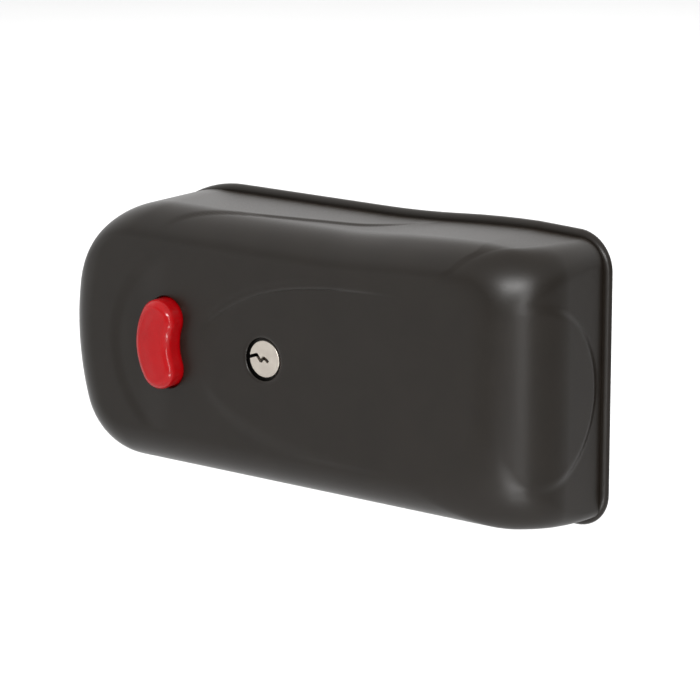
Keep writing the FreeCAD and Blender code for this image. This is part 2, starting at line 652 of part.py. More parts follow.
def guide_nuts():
    nuts = []
    for z in STUD_Z:
        start = Vector(BUTTON_X, COVER_INNER + SHEET, AXIS_Z + z)
        corners = [start + Vector(cos(radians(a)), 0, sin(radians(a))) * NUT_CORNER_R
                   for a in range(0, 360, 60)]
        hexagon = Part.Face(Part.makePolygon(corners + corners[:1])).extrude(Vector(0, 2.4, 0))
        nuts.append(hexagon.cut(bar(M3_HOLE_R, start, Y, 3)))
    return nuts


# ---- Key cylinder ----------------------------------------------------------------------------------

PIN_Y = [FIRST_PIN_Y + PIN_PITCH * i for i in range(PIN_COUNT)]
KEY_TIP = 1.9            # how far past the axis the key lifts the pins
SHEAR = PLUG_R + 0.1
DRIVER_END = SHEAR + 4.5
CHAMBER_PLUG = (21.0, 24.0)
CAM_HUB_R = 7.6
TAIL_R = 4.6
FIX_SCREW_X = 18.5
FIX_SCREW_Y = -19.2
DECK_FRONT = -26.0


def cylinder_profile(grow, y):
    """Round body with a stem towards +X."""
    length = y[1] - y[0]
    start = Vector(CYLINDER_X, y[0], AXIS_Z)
    round_part = Part.makeCylinder(CYLINDER_R + grow, length, start, Y)
    stem_x = (CYLINDER_X, CYLINDER_X + STEM_END - STEM_HALF)
    stem = block(stem_x, y, above(-STEM_HALF - grow, STEM_HALF + grow))
    end = Part.makeCylinder(STEM_HALF + grow, length, start + X * (STEM_END - STEM_HALF), Y)
    return fuse(round_part, stem, end)


def across(r, from_axis, to_axis, y):
    """Bar along +X between two distances from the plug's axis."""
    return bar(r, (CYLINDER_X + from_axis, y, AXIS_Z), X, to_axis - from_axis)


def cylinder_body():
    body = cylinder_profile(0, (CYLINDER_FACE, CYLINDER_REAR))
    body = body.cut(bar(PLUG_R + RUN, (CYLINDER_X, CYLINDER_FACE - 1, AXIS_Z), Y, 30))
    body = body.cut([across(PIN_R + SNUG, 3.0, STEM_END + 1, y) for y in PIN_Y])
    return [body.cut(bar(M4_HOLE_R, (CYLINDER_X + FIX_SCREW_X, FIX_SCREW_Y, AXIS_Z - 2), Z, 10))]


def keyway():
    """Wavy slot, drawn as a few straight runs of constant width."""
    line = [(-6.7, 0.0), (-3.3, 1.2), (-1.5, -0.9), (-0.2, 0.45), (1.0, -0.2), (1.6, -0.8)]
    half = 0.6
    pieces = []
    for (x0, z0), (x1, z1) in zip(line, line[1:]):
        run = Vector(x1 - x0, 0, z1 - z0).normalize()
        across_run = Vector(-run.z, 0, run.x) * half
        ends = [Vector(CYLINDER_X + x0, PLUG_FACE - 1, AXIS_Z + z0) - run * 0.2,
                Vector(CYLINDER_X + x1, PLUG_FACE - 1, AXIS_Z + z1) + run * 0.2]
        corners = [ends[0] - across_run, ends[1] - across_run, ends[1] + across_run, ends[0] + across_run]
        pieces.append(Part.Face(Part.makePolygon(corners + corners[:1])).extrude(Y * 24))
    return pieces


def cylinder_plug():
    plug = bar(PLUG_R, (CYLINDER_X, PLUG_FACE, AXIS_Z), Y, CYLINDER_REAR - PLUG_FACE - 0.1)
    tail = bar(TAIL_R, (CYLINDER_X, CYLINDER_REAR - 1, AXIS_Z), Y, CAM_REAR + 0.9 - CYLINDER_REAR + 1)
    tail = tail.cut(tube(TAIL_R + 1, TAIL_R - 0.6, (CYLINDER_X, CAM_REAR + 0.05, AXIS_Z), Y, 0.6))
    plug = round_edges(plug, 0.3, lambda edge: lies_at_y(edge, PLUG_FACE))
    plug = fuse(plug, tail).cut(keyway())
    return [plug.cut([across(PIN_R + SNUG, KEY_TIP - 1, PLUG_R + 1, y) for y in PIN_Y])]


def key_pins():
    pins = []
    for y in PIN_Y:
        tip = Part.makeCone(0.5, PIN_R, 0.9, Vector(CYLINDER_X + KEY_TIP, y, AXIS_Z), X)
        pins.append(fuse(tip, across(PIN_R, KEY_TIP + 0.9, PLUG_R - 0.3, y)))
    return pins


def driver_pins():
    return [across(PIN_R - 0.03, SHEAR, DRIVER_END, y) for y in PIN_Y]


def pin_springs():
    room = CHAMBER_PLUG[0] - DRIVER_END
    start_x = CYLINDER_X + DRIVER_END + 0.25
    return [coil((start_x, y, AXIS_Z), X, 1.05, 0.2, 4, room - 0.5, 4, 8) for y in PIN_Y]


def chamber_plugs():
    return [across(PIN_R, *CHAMBER_PLUG, y) for y in PIN_Y]


def cylinder_cam():
    y = CYLINDER_REAR + 0.2
    thick = CAM_REAR - y
    hub = bar(CAM_HUB_R, (CYLINDER_X, y, AXIS_Z), Y, thick)
    finger = block((CYLINDER_X - 2.2, CYLINDER_X + 2.2), (y, y + thick), above(-CAM_REACH, 0))
    tip = bar(2.2, (CYLINDER_X, y, AXIS_Z - CAM_REACH), Y, thick)
    cam = fuse(hub, finger, tip)
    cam.rotate(Vector(CYLINDER_X, 0, AXIS_Z), Y, CAM_REST)
    return [cam.cut(bar(TAIL_R + SNUG, (CYLINDER_X, y - 1, AXIS_Z), Y, thick + 2))]


def cam_clip():
    return [retaining_clip((CYLINDER_X, CAM_REAR + 0.1, AXIS_Z), Y, TAIL_R - 0.6 + SNUG, 6.0, 0.5)]


def cylinder_bracket():
    deck = block((CYLINDER_X - 12, CYLINDER_X + 27), (DECK_FRONT, DECK_FRONT + 2), above(-20, 14))
    deck = round_edges(deck, 3.0, lambda edge: runs_along(edge, Y))
    pieces = [deck]
    leg_x = (CYLINDER_X - 8, CYLINDER_X + 23)
    for inner, outer, foot in ((12.0, 14.0, 26.0), (-18.0, -20.0, -31.0)):
        pieces.append(block(leg_x, (DECK_FRONT, PLATE_FRONT), sorted(above(inner, outer))))
        pieces.append(block(leg_x, (PLATE_FRONT - SHEET, PLATE_FRONT), sorted(above(inner, foot))))
    body = fuse(*pieces).cut(cylinder_profile(SNUG, (-28, -22)))
    holes = [bar(M4_HOLE_R, (x, -5, z), Y, 5) for x, z in CYLINDER_SCREWS]
    holes.append(bar(M4_HOLE_R, (CYLINDER_X + FIX_SCREW_X, FIX_SCREW_Y, AXIS_Z + 10), Z, 8))
    return [body.cut(holes)]


def cylinder_screw():
    return [m4_screw((CYLINDER_X + FIX_SCREW_X, FIX_SCREW_Y, AXIS_Z + 14.0), Z * -1, 15.5)]


# ---- Solenoid --------------------------------------------------------------------------------------

YOKE_SCREW_X = (50.0, 76.0)
BOBBIN_FLANGE = 1.2


def countersunk(seat, grow):
    """Flush screw driven from the rear face, along -Y."""
    head = Part.makeCone(3.0 + grow, 1.5 + grow, 1.6, Vector(*seat), Y * -1)
    return head.fuse(bar(1.5 + grow, seat, Y * -1, 4.2))


def solenoid_yoke():
    x, z = SOLENOID_X, above(-YOKE_HALF, YOKE_HALF)
    base = block(x, (PLATE_FRONT - YOKE_WALL, PLATE_FRONT), z)
    left = block((x[0], x[0] + YOKE_WALL), (-31, PLATE_FRONT), z)
    right = block((x[1] - YOKE_WALL, x[1]), (-31, PLATE_FRONT), z)
    yoke = fuse(base, left, right)
    yoke = round_edges(yoke, 3.0, lambda edge: runs_along(edge, X) and edge.BoundBox.YMax < -30)
    holes = [bar(PLUNGER_R + 1.2, (x[0] - 1, SOLENOID_Y, AXIS_Z), X, YOKE_WALL + 2),
             bar(4.0 + SNUG, (x[1] - YOKE_WALL - 1, SOLENOID_Y, AXIS_Z), X, YOKE_WALL + 2)]
    holes += [bar(M3_HOLE_R, (sx, -7, AXIS_Z), Y, 6) for sx in YOKE_SCREW_X]
    return [yoke.cut(holes)]


def solenoid_bobbin():
    start, end = SOLENOID_X[0] + YOKE_WALL, SOLENOID_X[1] - YOKE_WALL
    at = (start, SOLENOID_Y, AXIS_Z)
    sleeve = tube(PLUNGER_R + 1.1, PLUNGER_R + 0.1, at, X, end - start)
    flanges = [tube(COIL_R, PLUNGER_R + 0.1, (x, SOLENOID_Y, AXIS_Z), X, BOBBIN_FLANGE)
               for x in (start, end - BOBBIN_FLANGE)]
    return [fuse(sleeve, *flanges)]


def solenoid_coil():
    start = SOLENOID_X[0] + YOKE_WALL + BOBBIN_FLANGE + SNUG
    end = SOLENOID_X[1] - YOKE_WALL - BOBBIN_FLANGE - SNUG
    return [tube(COIL_R - 0.8, PLUNGER_R + 1.1 + SNUG, (start, SOLENOID_Y, AXIS_Z), X, end - start)]


def solenoid_core():
    inner = bar(PLUNGER_R, (CORE_FACE, SOLENOID_Y, AXIS_Z), X, SOLENOID_X[1] - YOKE_WALL - CORE_FACE)
    rivet = bar(4.0, (CORE_FACE + 1, SOLENOID_Y, AXIS_Z), X, SOLENOID_X[1] + 1 - CORE_FACE - 1)
    return [fuse(inner, rivet)]


def solenoid_plunger():
    body = bar(PLUNGER_R, (PLUNGER_X[0], SOLENOID_Y, AXIS_Z), X, PLUNGER_X[1] - PLUNGER_X[0])
    body = body.makeChamfer(0.8, [edge for edge in body.Edges if edge.BoundBox.XMin > PLUNGER_X[1] - 0.1])
    slot = block((PLUNGER_X[0] - 1, LINK_PLUNGER_X + 5), (-24, -10), above(*LINK_ROOM))
    return [body.cut([slot, bar(LINK_PLUNGER_PIN_R + SNUG, (LINK_PLUNGER_X, SOLENOID_Y, AXIS_Z - 8), Z, 16)])]


def pull_link():
    z = above(-LINK_HALF, LINK_HALF)
    plate = strap((LINK_ROD_X, ROD_Y), (LINK_PLUNGER_X, SOLENOID_Y), 3.2, 3.6, z)
    return [plate.cut([bar(LINK_ROD_PIN_R + SNUG, (LINK_ROD_X, ROD_Y, z[0] - 1), Z, 5),
                       bar(LINK_PLUNGER_PIN_R + SNUG, (LINK_PLUNGER_X, SOLENOID_Y, z[0] - 1), Z, 5)])]


def link_pins():
    return [bar(LINK_ROD_PIN_R, (LINK_ROD_X, ROD_Y, AXIS_Z - 3.4), Z, 6.8),
            bar(LINK_PLUNGER_PIN_R, (LINK_PLUNGER_X, SOLENOID_Y, AXIS_Z - 5.2), Z, 10.4)]


def solenoid_screws():
    return [countersunk((x, 0, AXIS_Z), 0) for x in YOKE_SCREW_X]


# ---- Electrical parts ------------------------------------------------------------------------------

def pole_places():
    middle = (BLOCK_X[0] + BLOCK_X[1]) / 2
    return [middle + POLE_PITCH * i for i in (-1, 0, 1)]


def block_screw_places():
    middle, z = (BLOCK_X[0] + BLOCK_X[1]) / 2, (BLOCK_Z[0] + BLOCK_Z[1]) / 2
    return [(middle + POLE_PITCH * i, z) for i in (-0.5, 0.5)]


POLE_SCREW_Z = (BLOCK_Z[0] + 3.6, BLOCK_Z[1] - 3.6)
BLOCK_SEAT = -8.0


def terminal_block():
    body = block(BLOCK_X, (BLOCK_FRONT, PLATE_FRONT), BLOCK_Z)
    body = round_edges(body, 1.0, lambda edge: runs_along(edge, Y))
    cuts = [bar(2.0, (x, BLOCK_FRONT + 8.5, BLOCK_Z[0] - 1), Z, 20) for x in pole_places()]
    cuts += [bar(2.2, (x, BLOCK_FRONT - 1, z), Y, 7.0) for x in pole_places() for z in POLE_SCREW_Z]
    for x, z in block_screw_places():
        cuts.append(bar(M3_HOLE_R, (x, BLOCK_FRONT - 1, z), Y, 20))
        cuts.append(bar(2.9, (x, BLOCK_FRONT - 1, z), Y, BLOCK_SEAT - BLOCK_FRONT + 1))
    cuts += [block((x + 2.6 * s - 0.4, x + 2.6 * s + 0.4), (BLOCK_FRONT - 1, BLOCK_FRONT + 2.5),
                   (BLOCK_Z[0] - 1, BLOCK_Z[1] + 1)) for x in pole_places() for s in (-1.25, 1.25)]
    return [body.cut(cuts)]


def terminal_screws():
    screws = []
    for x in pole_places():
        for z in POLE_SCREW_Z:
            head = bar(2.0, (x, BLOCK_FRONT + 1.5, z), Y, 4.3)
            slot = block((x - 2.1, x + 2.1), (BLOCK_FRONT + 1, BLOCK_FRONT + 2.3), (z - 0.3, z + 0.3))
            screws.append(head.cut(slot))
    return screws


def block_screws():
    return [m3_screw((x, BLOCK_SEAT, z), Y, -BLOCK_SEAT - 0.2) for x, z in block_screw_places()]


LEAD_R = 0.9
LEAD_BEND = 3.0
LEAD_TOP = AXIS_Z - COIL_R + 0.6
LEAD_Y = (SOLENOID_Y, BLOCK_FRONT + 8.5)


def coil_leads():
    """Two insulated wires from the coil down to the terminal block, each with two round bends."""
    leads = []
    slope = radians(45)
    reach = LEAD_BEND * (1 - cos(slope))
    shift = LEAD_Y[1] - LEAD_Y[0]
    middle_z = (LEAD_TOP + BLOCK_Z[1]) / 2
    drop = shift - 2 * reach
    for x in pole_places()[1:]:
        upper = middle_z + drop / 2
        lower = middle_z - drop / 2
        bend = LEAD_BEND * sin(slope)
        half = slope / 2

        def at(y, z):
            return Vector(x, y, z)

        first_mid = at(LEAD_Y[0] + LEAD_BEND * (1 - cos(half)), upper + bend - LEAD_BEND * sin(half))
        last_mid = at(LEAD_Y[1] - LEAD_BEND * (1 - cos(half)), lower - bend + LEAD_BEND * sin(half))
        edges = [
            Part.makeLine(at(LEAD_Y[0], LEAD_TOP), at(LEAD_Y[0], upper + bend)),
            arc(at(LEAD_Y[0], upper + bend), first_mid, at(LEAD_Y[0] + reach, upper)),
            Part.makeLine(at(LEAD_Y[0] + reach, upper), at(LEAD_Y[1] - reach, lower)),
            arc(at(LEAD_Y[1] - reach, lower), last_mid, at(LEAD_Y[1], lower - bend)),
            Part.makeLine(at(LEAD_Y[1], lower - bend), at(LEAD_Y[1], BLOCK_Z[1] - 4)),
        ]
        ring = Part.Wire([Part.Circle(at(LEAD_Y[0], LEAD_TOP), Z, LEAD_R).toShape()])
        leads.append(Part.Wire(edges).makePipeShell([ring], True, True))
    return leads


# ---- Write the pieces ------------------------------------------------------------------------------

PIECES = {
    "back_plate": lambda: [back_plate()],
    "front_cover": lambda: [front_cover()],
    "cover_lugs": cover_lugs,
    "cover_screws": cover_screws,
    "cable_grommet": cable_grommet,
    "latch_face_plate": latch_face_plate,
    "face_plate_screws": lambda: sheet_screws(FACE_SCREWS),
    "latch_bolt": latch_bolt,
    "bolt_pin": bolt_pin,
    "latch_rod": latch_rod,
    "drive_collar": drive_collar,
    "collar_pin": collar_pin,
    "key_dog": key_dog,
    "dog_pin": dog_pin,
    "latch_spring": latch_spring,
    "rear_guide": rear_guide,
    "rear_guide_screw": lambda: sheet_screws(GUIDE_SCREWS),
    "lever_bracket": lever_bracket,
    "lever_bracket_screws": lambda: sheet_screws(BRACKET_SCREWS),
    "release_lever": release_lever,
    "push_roller": push_roller,
    "roller_pin": roller_pin,
    "pivot_pin": pivot_pin,
    "pivot_clip": pivot_clip,
    "button_cap": button_cap,
    "button_stem": button_stem,
    "button_spring": button_spring,
    "button_guide": button_guide,
    "guide_nuts": guide_nuts,
    "cylinder_body": cylinder_body,
    "cylinder_plug": cylinder_plug,
    "key_pins": key_pins,
    "driver_pins": driver_pins,
    "pin_springs": pin_springs,
    "chamber_plugs": chamber_plugs,
    "cylinder_cam": cylinder_cam,
    "cam_clip": cam_clip,
    "cylinder_bracket": cylinder_bracket,
    "cylinder_bracket_screws": lambda: sheet_screws(CYLINDER_SCREWS),
    "cylinder_screw": cylinder_screw,
    "solenoid_yoke": solenoid_yoke,
    "solenoid_bobbin": solenoid_bobbin,
    "solenoid_coil": solenoid_coil,
    "solenoid_core": solenoid_core,
    "solenoid_plunger": solenoid_plunger,
    "pull_link": pull_link,
    "link_pins": link_pins,
    "solenoid_screws": solenoid_screws,
    "terminal_block": terminal_block,
    "terminal_screws": terminal_screws,
    "block_screws": block_screws,
    "coil_leads": coil_leads,
    "earth_screw": lambda: [m4_screw((EARTH_SCREW[0][0], PLATE_FRONT, EARTH_SCREW[0][1]), Y, 1.8)],
}

os.makedirs("parts", exist_ok=True)
for name, build in PIECES.items():
    solids = build()
    shape = solids[0] if len(solids) == 1 else Part.makeCompound(solids)
    bad = [solid for solid in shape.Solids if not solid.isValid() or solid.Volume <= 0]
    print(f"{name}: {len(shape.Solids)} solids, {shape.Volume:.1f} mm3" + (" NOT VALID" if bad else ""))
    shape.exportStep(f"parts/{name}.step")
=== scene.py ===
from math import atan2, cos, degrees, pi, radians, sin, sqrt, tan

import bmesh
import bpy
import numpy as np
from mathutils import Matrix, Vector
from mathutils.geometry import delaunay_2d_cdt


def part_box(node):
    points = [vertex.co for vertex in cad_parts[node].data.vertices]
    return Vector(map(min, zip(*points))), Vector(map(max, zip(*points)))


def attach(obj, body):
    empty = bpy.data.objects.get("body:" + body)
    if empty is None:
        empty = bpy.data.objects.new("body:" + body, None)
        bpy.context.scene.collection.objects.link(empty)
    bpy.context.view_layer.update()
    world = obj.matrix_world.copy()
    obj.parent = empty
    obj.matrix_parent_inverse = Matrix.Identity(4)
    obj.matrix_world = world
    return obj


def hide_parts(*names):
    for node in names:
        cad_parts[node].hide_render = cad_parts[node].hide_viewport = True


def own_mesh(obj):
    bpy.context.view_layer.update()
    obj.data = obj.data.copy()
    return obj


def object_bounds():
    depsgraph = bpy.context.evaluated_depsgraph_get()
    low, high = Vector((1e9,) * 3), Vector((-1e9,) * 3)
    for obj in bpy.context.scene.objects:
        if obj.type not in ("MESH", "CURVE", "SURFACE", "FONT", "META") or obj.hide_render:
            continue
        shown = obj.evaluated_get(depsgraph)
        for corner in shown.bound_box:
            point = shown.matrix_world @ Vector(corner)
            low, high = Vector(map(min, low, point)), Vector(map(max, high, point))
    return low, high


# Surface-mounted electric gate lock. Shapes are worked out in
# millimetres in the row frame: X along the case, -Y to the front, +Z up, wall plane at y = 0.

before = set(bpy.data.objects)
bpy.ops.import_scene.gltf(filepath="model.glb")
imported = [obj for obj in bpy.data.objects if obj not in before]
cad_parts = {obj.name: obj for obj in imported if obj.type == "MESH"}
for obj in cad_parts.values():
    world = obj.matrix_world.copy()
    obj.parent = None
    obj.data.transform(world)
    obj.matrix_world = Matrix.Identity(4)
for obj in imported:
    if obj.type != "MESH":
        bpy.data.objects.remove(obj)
cad_bounds = [list(corner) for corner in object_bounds()]

MM = 0.001


def node_box(name):
    """Lowest and highest corner of a CAD node, in millimetres."""
    low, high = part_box(name)
    return low / MM, high / MM


# ---- Driving dimensions --------------------------------------------------------------------------

COVER_LOW, COVER_HIGH = node_box("front_cover")
PLUG_LOW, PLUG_HIGH = node_box("cylinder_plug")
CAP_LOW, CAP_HIGH = node_box("button_cap")

FRONT_Y, RIM_Y = COVER_LOW.y, COVER_HIGH.y
WALL = 1.6
EDGE_R = 13.8
SIDE_END_Y = FRONT_Y + EDGE_R
INNER_Y = FRONT_Y + WALL
AXIS_Z = (PLUG_LOW.z + PLUG_HIGH.z) / 2

# Corner radii of the case outline: where it meets the wall, and where the front face begins.
LEFT_CORNERS = dict(top_left=(42.0, 8.0), bottom_left=(26.5, 10.0))
# Right-hand corners: radius at the wall, and how much it grows towards the front.
RIGHT_CORNERS = dict(top_right=(9.0, 15.0), bottom_right=(3.5, 26.0))
RIGHT_EDGE_R = 24.0
RIGHT_DRAFT = radians(3.0)
END_ARC_R = 100.0
STEP_X = (11.0, 75.0)
STEP_DROP = 2.6
SHOULDER_DROP = 0.6

# Release button.
LOBE_R, LOBE_HALF_SPAN, LOBE_X = 7.2, 8.8, -53.5
BACK_ARC_R, WAIST_R = 23.7, 17.4
BUTTON_GAP = 0.4
CAP_FACE_Y, CAP_SKIRT_Y = CAP_LOW.y, CAP_HIGH.y
CAP_WALL = 1.8
CAP_EDGE_R = 3.2
CAP_LIP = 1.6
BUTTON_X = -55.2
STUD_RISE = 24.0          # the guide's studs stand this far above and below the button's axis

# Key cylinder.
CYLINDER_X = -10.3
KEY_HOLE_R = 7.6
KEY_HOLE_ROLL = (1.5, 0.6)
KEY_HOLE_BACK_R = 8.8

# Latch notch in the left-hand end, and the open slots of the two cover screws.
NOTCH_X = (-106.0, -93.0)
SLOT_HALF = 2.3
SLOT_Z = (-50.0, -44.0)


# ---- Small vector helpers ------------------------------------------------------------------------

def smooth(value, start, end):
    """0 before start, 1 after end, smooth between. Start may be the larger one."""
    t = np.clip((np.asarray(value, float) - start) / (end - start), 0, 1)
    return t * t * (3 - 2 * t)


def arc_points(centre, radius, from_deg, to_deg, count):
    angles = np.radians(np.linspace(from_deg, to_deg, count, endpoint=False))
    return np.column_stack([centre[0] + radius * np.cos(angles), centre[1] + radius * np.sin(angles)])


def line_points(start, end, count):
    share = np.linspace(0, 1, count, endpoint=False)[:, None]
    return np.asarray(start) * (1 - share) + np.asarray(end) * share


# ---- Outlines ------------------------------------------------------------------------------------

def right_wall_inset(skin_inset, y):
    """How far the right-hand wall is from the outline at depth y, as it leans in and rounds over."""
    centre_y = FRONT_Y + RIGHT_EDGE_R
    if y >= centre_y - (RIGHT_EDGE_R - skin_inset) * sin(RIGHT_DRAFT):
        return (RIM_Y - y) * tan(RIGHT_DRAFT) + skin_inset / cos(RIGHT_DRAFT)
    centre_inset = (RIM_Y - centre_y) * tan(RIGHT_DRAFT) + RIGHT_EDGE_R / cos(RIGHT_DRAFT)
    return centre_inset - sqrt(max((RIGHT_EDGE_R - skin_inset) ** 2 - (centre_y - y) ** 2, 0))


def case_ring(skin_inset, inset, y):
    """Section of the cover at depth y, as (x, z) rows, drawn in by inset but for the right-hand wall."""
    front_share = (inset - skin_inset) / (EDGE_R - skin_inset)
    depth_share = (max(RIM_Y - y, 0) / (RIM_Y - FRONT_Y)) ** 2.5
    left, right = COVER_LOW.x + inset, COVER_HIGH.x - right_wall_inset(skin_inset, y)
    bottom, crest = COVER_LOW.z + inset, COVER_HIGH.z - inset
    top, shoulder = crest - STEP_DROP, crest - SHOULDER_DROP
    r = {}
    for name, (at_wall, at_front) in LEFT_CORNERS.items():
        r[name] = at_wall + (at_front - at_wall) * front_share - skin_inset
    for name, (at_wall, growth) in RIGHT_CORNERS.items():
        r[name] = max(at_wall - inset, 1.0) + growth * depth_share
    end_r = END_ARC_R - inset
    end_x = left + end_r

    def centre(radius, z):
        return end_x - sqrt((end_r - radius) ** 2 - z ** 2), z

    upper = centre(r["top_left"], top - r["top_left"])
    lower = centre(r["bottom_left"], bottom + r["bottom_left"])
    upper_deg = degrees(atan2(upper[1], upper[0] - end_x))
    lower_deg = degrees(atan2(lower[1], lower[0] - end_x)) + 360
    top_corner = (right - r["top_right"], shoulder - r["top_right"])
    low_corner = (right - r["bottom_right"], bottom + r["bottom_right"])
    step_end = min(STEP_X[1], top_corner[0] - 2)
    half_run, half_rise = (step_end - STEP_X[0]) / 2, (crest - top) / 2
    step_x = np.linspace(0, 2 * half_run, 64, endpoint=False)
    step_z = top + 2 * half_rise * smooth(step_x, 0, 2 * half_run)
    return np.vstack([
        arc_points(upper, r["top_left"], upper_deg, 90, 48),
        line_points((upper[0], top), (STEP_X[0], top), 56),
        np.column_stack([STEP_X[0] + step_x, step_z]),
        line_points((step_end, crest), (top_corner[0], shoulder), 14),
        arc_points(top_corner, r["top_right"], 90, 0, 24),
        line_points((right, top_corner[1]), (right, low_corner[1]), 72),
        arc_points(low_corner, r["bottom_right"], 0, -90, 24),
        line_points((low_corner[0], bottom), (lower[0], bottom), 120),
        arc_points(lower, r["bottom_left"], 270, lower_deg, 36),
        arc_points((end_x, 0), end_r, lower_deg, upper_deg, 36),
    ])


def kidney_ring(grow):
    """Outline of the release button, grown outwards."""
    count = 24
    back = (LOBE_X + sqrt((BACK_ARC_R - LOBE_R) ** 2 - LOBE_HALF_SPAN ** 2), AXIS_Z)
    waist = (LOBE_X + sqrt((WAIST_R + LOBE_R) ** 2 - LOBE_HALF_SPAN ** 2), AXIS_Z)
    back_deg = degrees(atan2(LOBE_HALF_SPAN, LOBE_X - back[0]))
    waist_deg = degrees(atan2(LOBE_HALF_SPAN, LOBE_X - waist[0]))
    upper, lower = (LOBE_X, AXIS_Z + LOBE_HALF_SPAN), (LOBE_X, AXIS_Z - LOBE_HALF_SPAN)
    return np.vstack([
        arc_points(back, BACK_ARC_R + grow, 360 - back_deg, back_deg, count * 2),
        arc_points(upper, LOBE_R + grow, back_deg, waist_deg - 180, count * 2),
        arc_points(waist, WAIST_R - grow, waist_deg, 360 - waist_deg, count),
        arc_points(lower, LOBE_R + grow, 180 - waist_deg, -back_deg, count * 2),
    ])


def circle_ring(radius):
    return arc_points((CYLINDER_X, AXIS_Z), radius, 0, 360, 72)


def contains(ring, points):
    """True for each (x, z) point inside the ring."""
    inside = np.zeros(len(points), bool)
    for a, b in zip(ring, np.roll(ring, -1, axis=0)):
        crosses = (a[1] > points[:, 1]) != (b[1] > points[:, 1])
        with np.errstate(divide="ignore", invalid="ignore"):
            at_x = (b[0] - a[0]) * (points[:, 1] - a[1]) / (b[1] - a[1]) + a[0]
        inside ^= crosses & (points[:, 0] < at_x)
    return inside


def distance_to(ring, points):
    """Distance from each point to the ring's nearest corner."""
    return np.array([np.min(np.hypot(*(ring - p).T)) for p in points])


# ---- Mesh helpers --------------------------------------------------------------------------------

class Skin:
    """Collects vertices in millimetres and faces, and turns them into one clean mesh object."""

    def __init__(self):
        self.points, self.faces = [], []

    def add(self, points):
        start = len(self.points)
        self.points += [tuple(p) for p in points]
        return list(range(start, len(self.points)))

    def strip(self, near, far):
        """Quads between two index rings of the same length."""
        count = len(near)
        for i in range(count):
            j = (i + 1) % count
            self.faces.append((near[i], near[j], far[j], far[i]))

    def lathe(self, profile, origin, axis, count=48, closed=False):
        """Turns a profile of (distance along axis, radius) rows about an axis."""
        axis = Vector(axis)
        side = axis.orthogonal().normalized()
        other = axis.cross(side)
        rings = []
        for along, radius in profile:
            ring = []
            for i in range(count):
                angle = 2 * pi * i / count
                out = side * cos(angle) + other * sin(angle)
                ring.append(Vector(origin) + axis * along + out * radius)
            rings.append(self.add(ring))
        for near, far in zip(rings, rings[1:]):
            self.strip(near, far)
        if closed:
            self.strip(rings[-1], rings[0])
        else:
            self.faces.append(tuple(rings[0]))
            self.faces.append(tuple(rings[-1]))

    def finish(self, name, sharp_deg=40):
        mesh = bpy.data.meshes.new(name)
        mesh.from_pydata([(x * MM, y * MM, z * MM) for x, y, z in self.points], [], self.faces)
        clean = bmesh.new()
        clean.from_mesh(mesh)
        bmesh.ops.remove_doubles(clean, verts=clean.verts, dist=0.002 * MM)
        bmesh.ops.dissolve_degenerate(clean, edges=clean.edges, dist=0.001 * MM)
        bmesh.ops.recalc_face_normals(clean, faces=clean.faces)
        clean.to_mesh(mesh)
        clean.free()
        mesh.shade_smooth()
        mesh.set_sharp_from_angle(angle=radians(sharp_deg))
        piece = bpy.data.objects.new(name, mesh)
        bpy.context.scene.collection.objects.link(piece)
        return piece


def fill_between(skin, loops, spacing, depth, extra=None):
    """Fills the area inside loops[0] and outside the other loops with triangles.

    loops holds (points, indices) pairs. depth(x, z) gives each new point's y. extra holds points that
    replace the grid near them, where the surface bends sharply.
    """
    outer = loops[0][0]
    low, high = outer.min(axis=0), outer.max(axis=0)
    rows = np.arange(low[1], high[1], spacing * sqrt(3) / 2)
    grid = np.array([(x + (k % 2) * spacing / 2, z) for k, z in enumerate(rows)
                     for x in np.arange(low[0], high[0], spacing)])
    keep = contains(outer, grid)
    for ring, _ in loops[1:]:
        keep &= ~contains(ring, grid)
    grid = grid[keep]
    rim = np.vstack([ring for ring, _ in loops])
    grid = grid[distance_to(rim, grid) > 0.55 * spacing]
    if extra is not None:
        grid = np.vstack([grid[distance_to(extra, grid) > 0.6], extra])

    corners, edges, places = [], [], []
    for ring, indices in loops:
        start, count = len(corners), len(ring)
        corners += [Vector(p) for p in ring]
        edges += [(start + i, start + (i + 1) % count) for i in range(count)]
        places += indices
    new_indices = skin.add(np.column_stack([grid[:, 0], depth(grid[:, 0], grid[:, 1]), grid[:, 1]]))
    corners += [Vector(p) for p in grid]
    places += new_indices
    _, _, triangles, _, _, _ = delaunay_2d_cdt(corners, edges, [], 1, 1e-6)
    flat = np.array([tuple(c) for c in corners])
    middles = np.array([flat[list(t)].mean(axis=0) for t in triangles])
    wanted = np.ones(len(triangles), bool)
    for ring, _ in loops[1:]:
        wanted &= ~contains(ring, middles)
    skin.faces += [tuple(places[i] for i in t) for t, good in zip(triangles, wanted) if good]


def cut(piece, cutter_skin, name):
    """Takes a closed cutter form out of a piece."""
    cutter = cutter_skin.finish(name)
    tool = piece.modifiers.new("cut", "BOOLEAN")
    tool.object, tool.operation, tool.solver = cutter, "DIFFERENCE", "EXACT"
    graph = bpy.context.evaluated_depsgraph_get()
    mesh = bpy.data.meshes.new_from_object(piece.evaluated_get(graph))
    piece.modifiers.clear()
    piece.data = mesh
    bpy.data.objects.remove(cutter)


# ---- Front cover ---------------------------------------------------------------------------------

def upper_sweep(x):
    """Height of the crease above the key cylinder, which rises and levels out to the right."""
    return 30.6 - 17.4 * np.exp(-(x + 30.0) / 24.0)


def crease_points():
    """Rows of points along the upper crease, closer together than the face's grid."""
    x = np.arange(-34.0, 48.0, 0.9)
    return np.vstack([np.column_stack([x + 0.1 * row, upper_sweep(x) + offset])
                      for row, offset in enumerate((1.8, 1.2, 0.7, 0.3, -0.1, -0.5, -0.9, -1.4))])


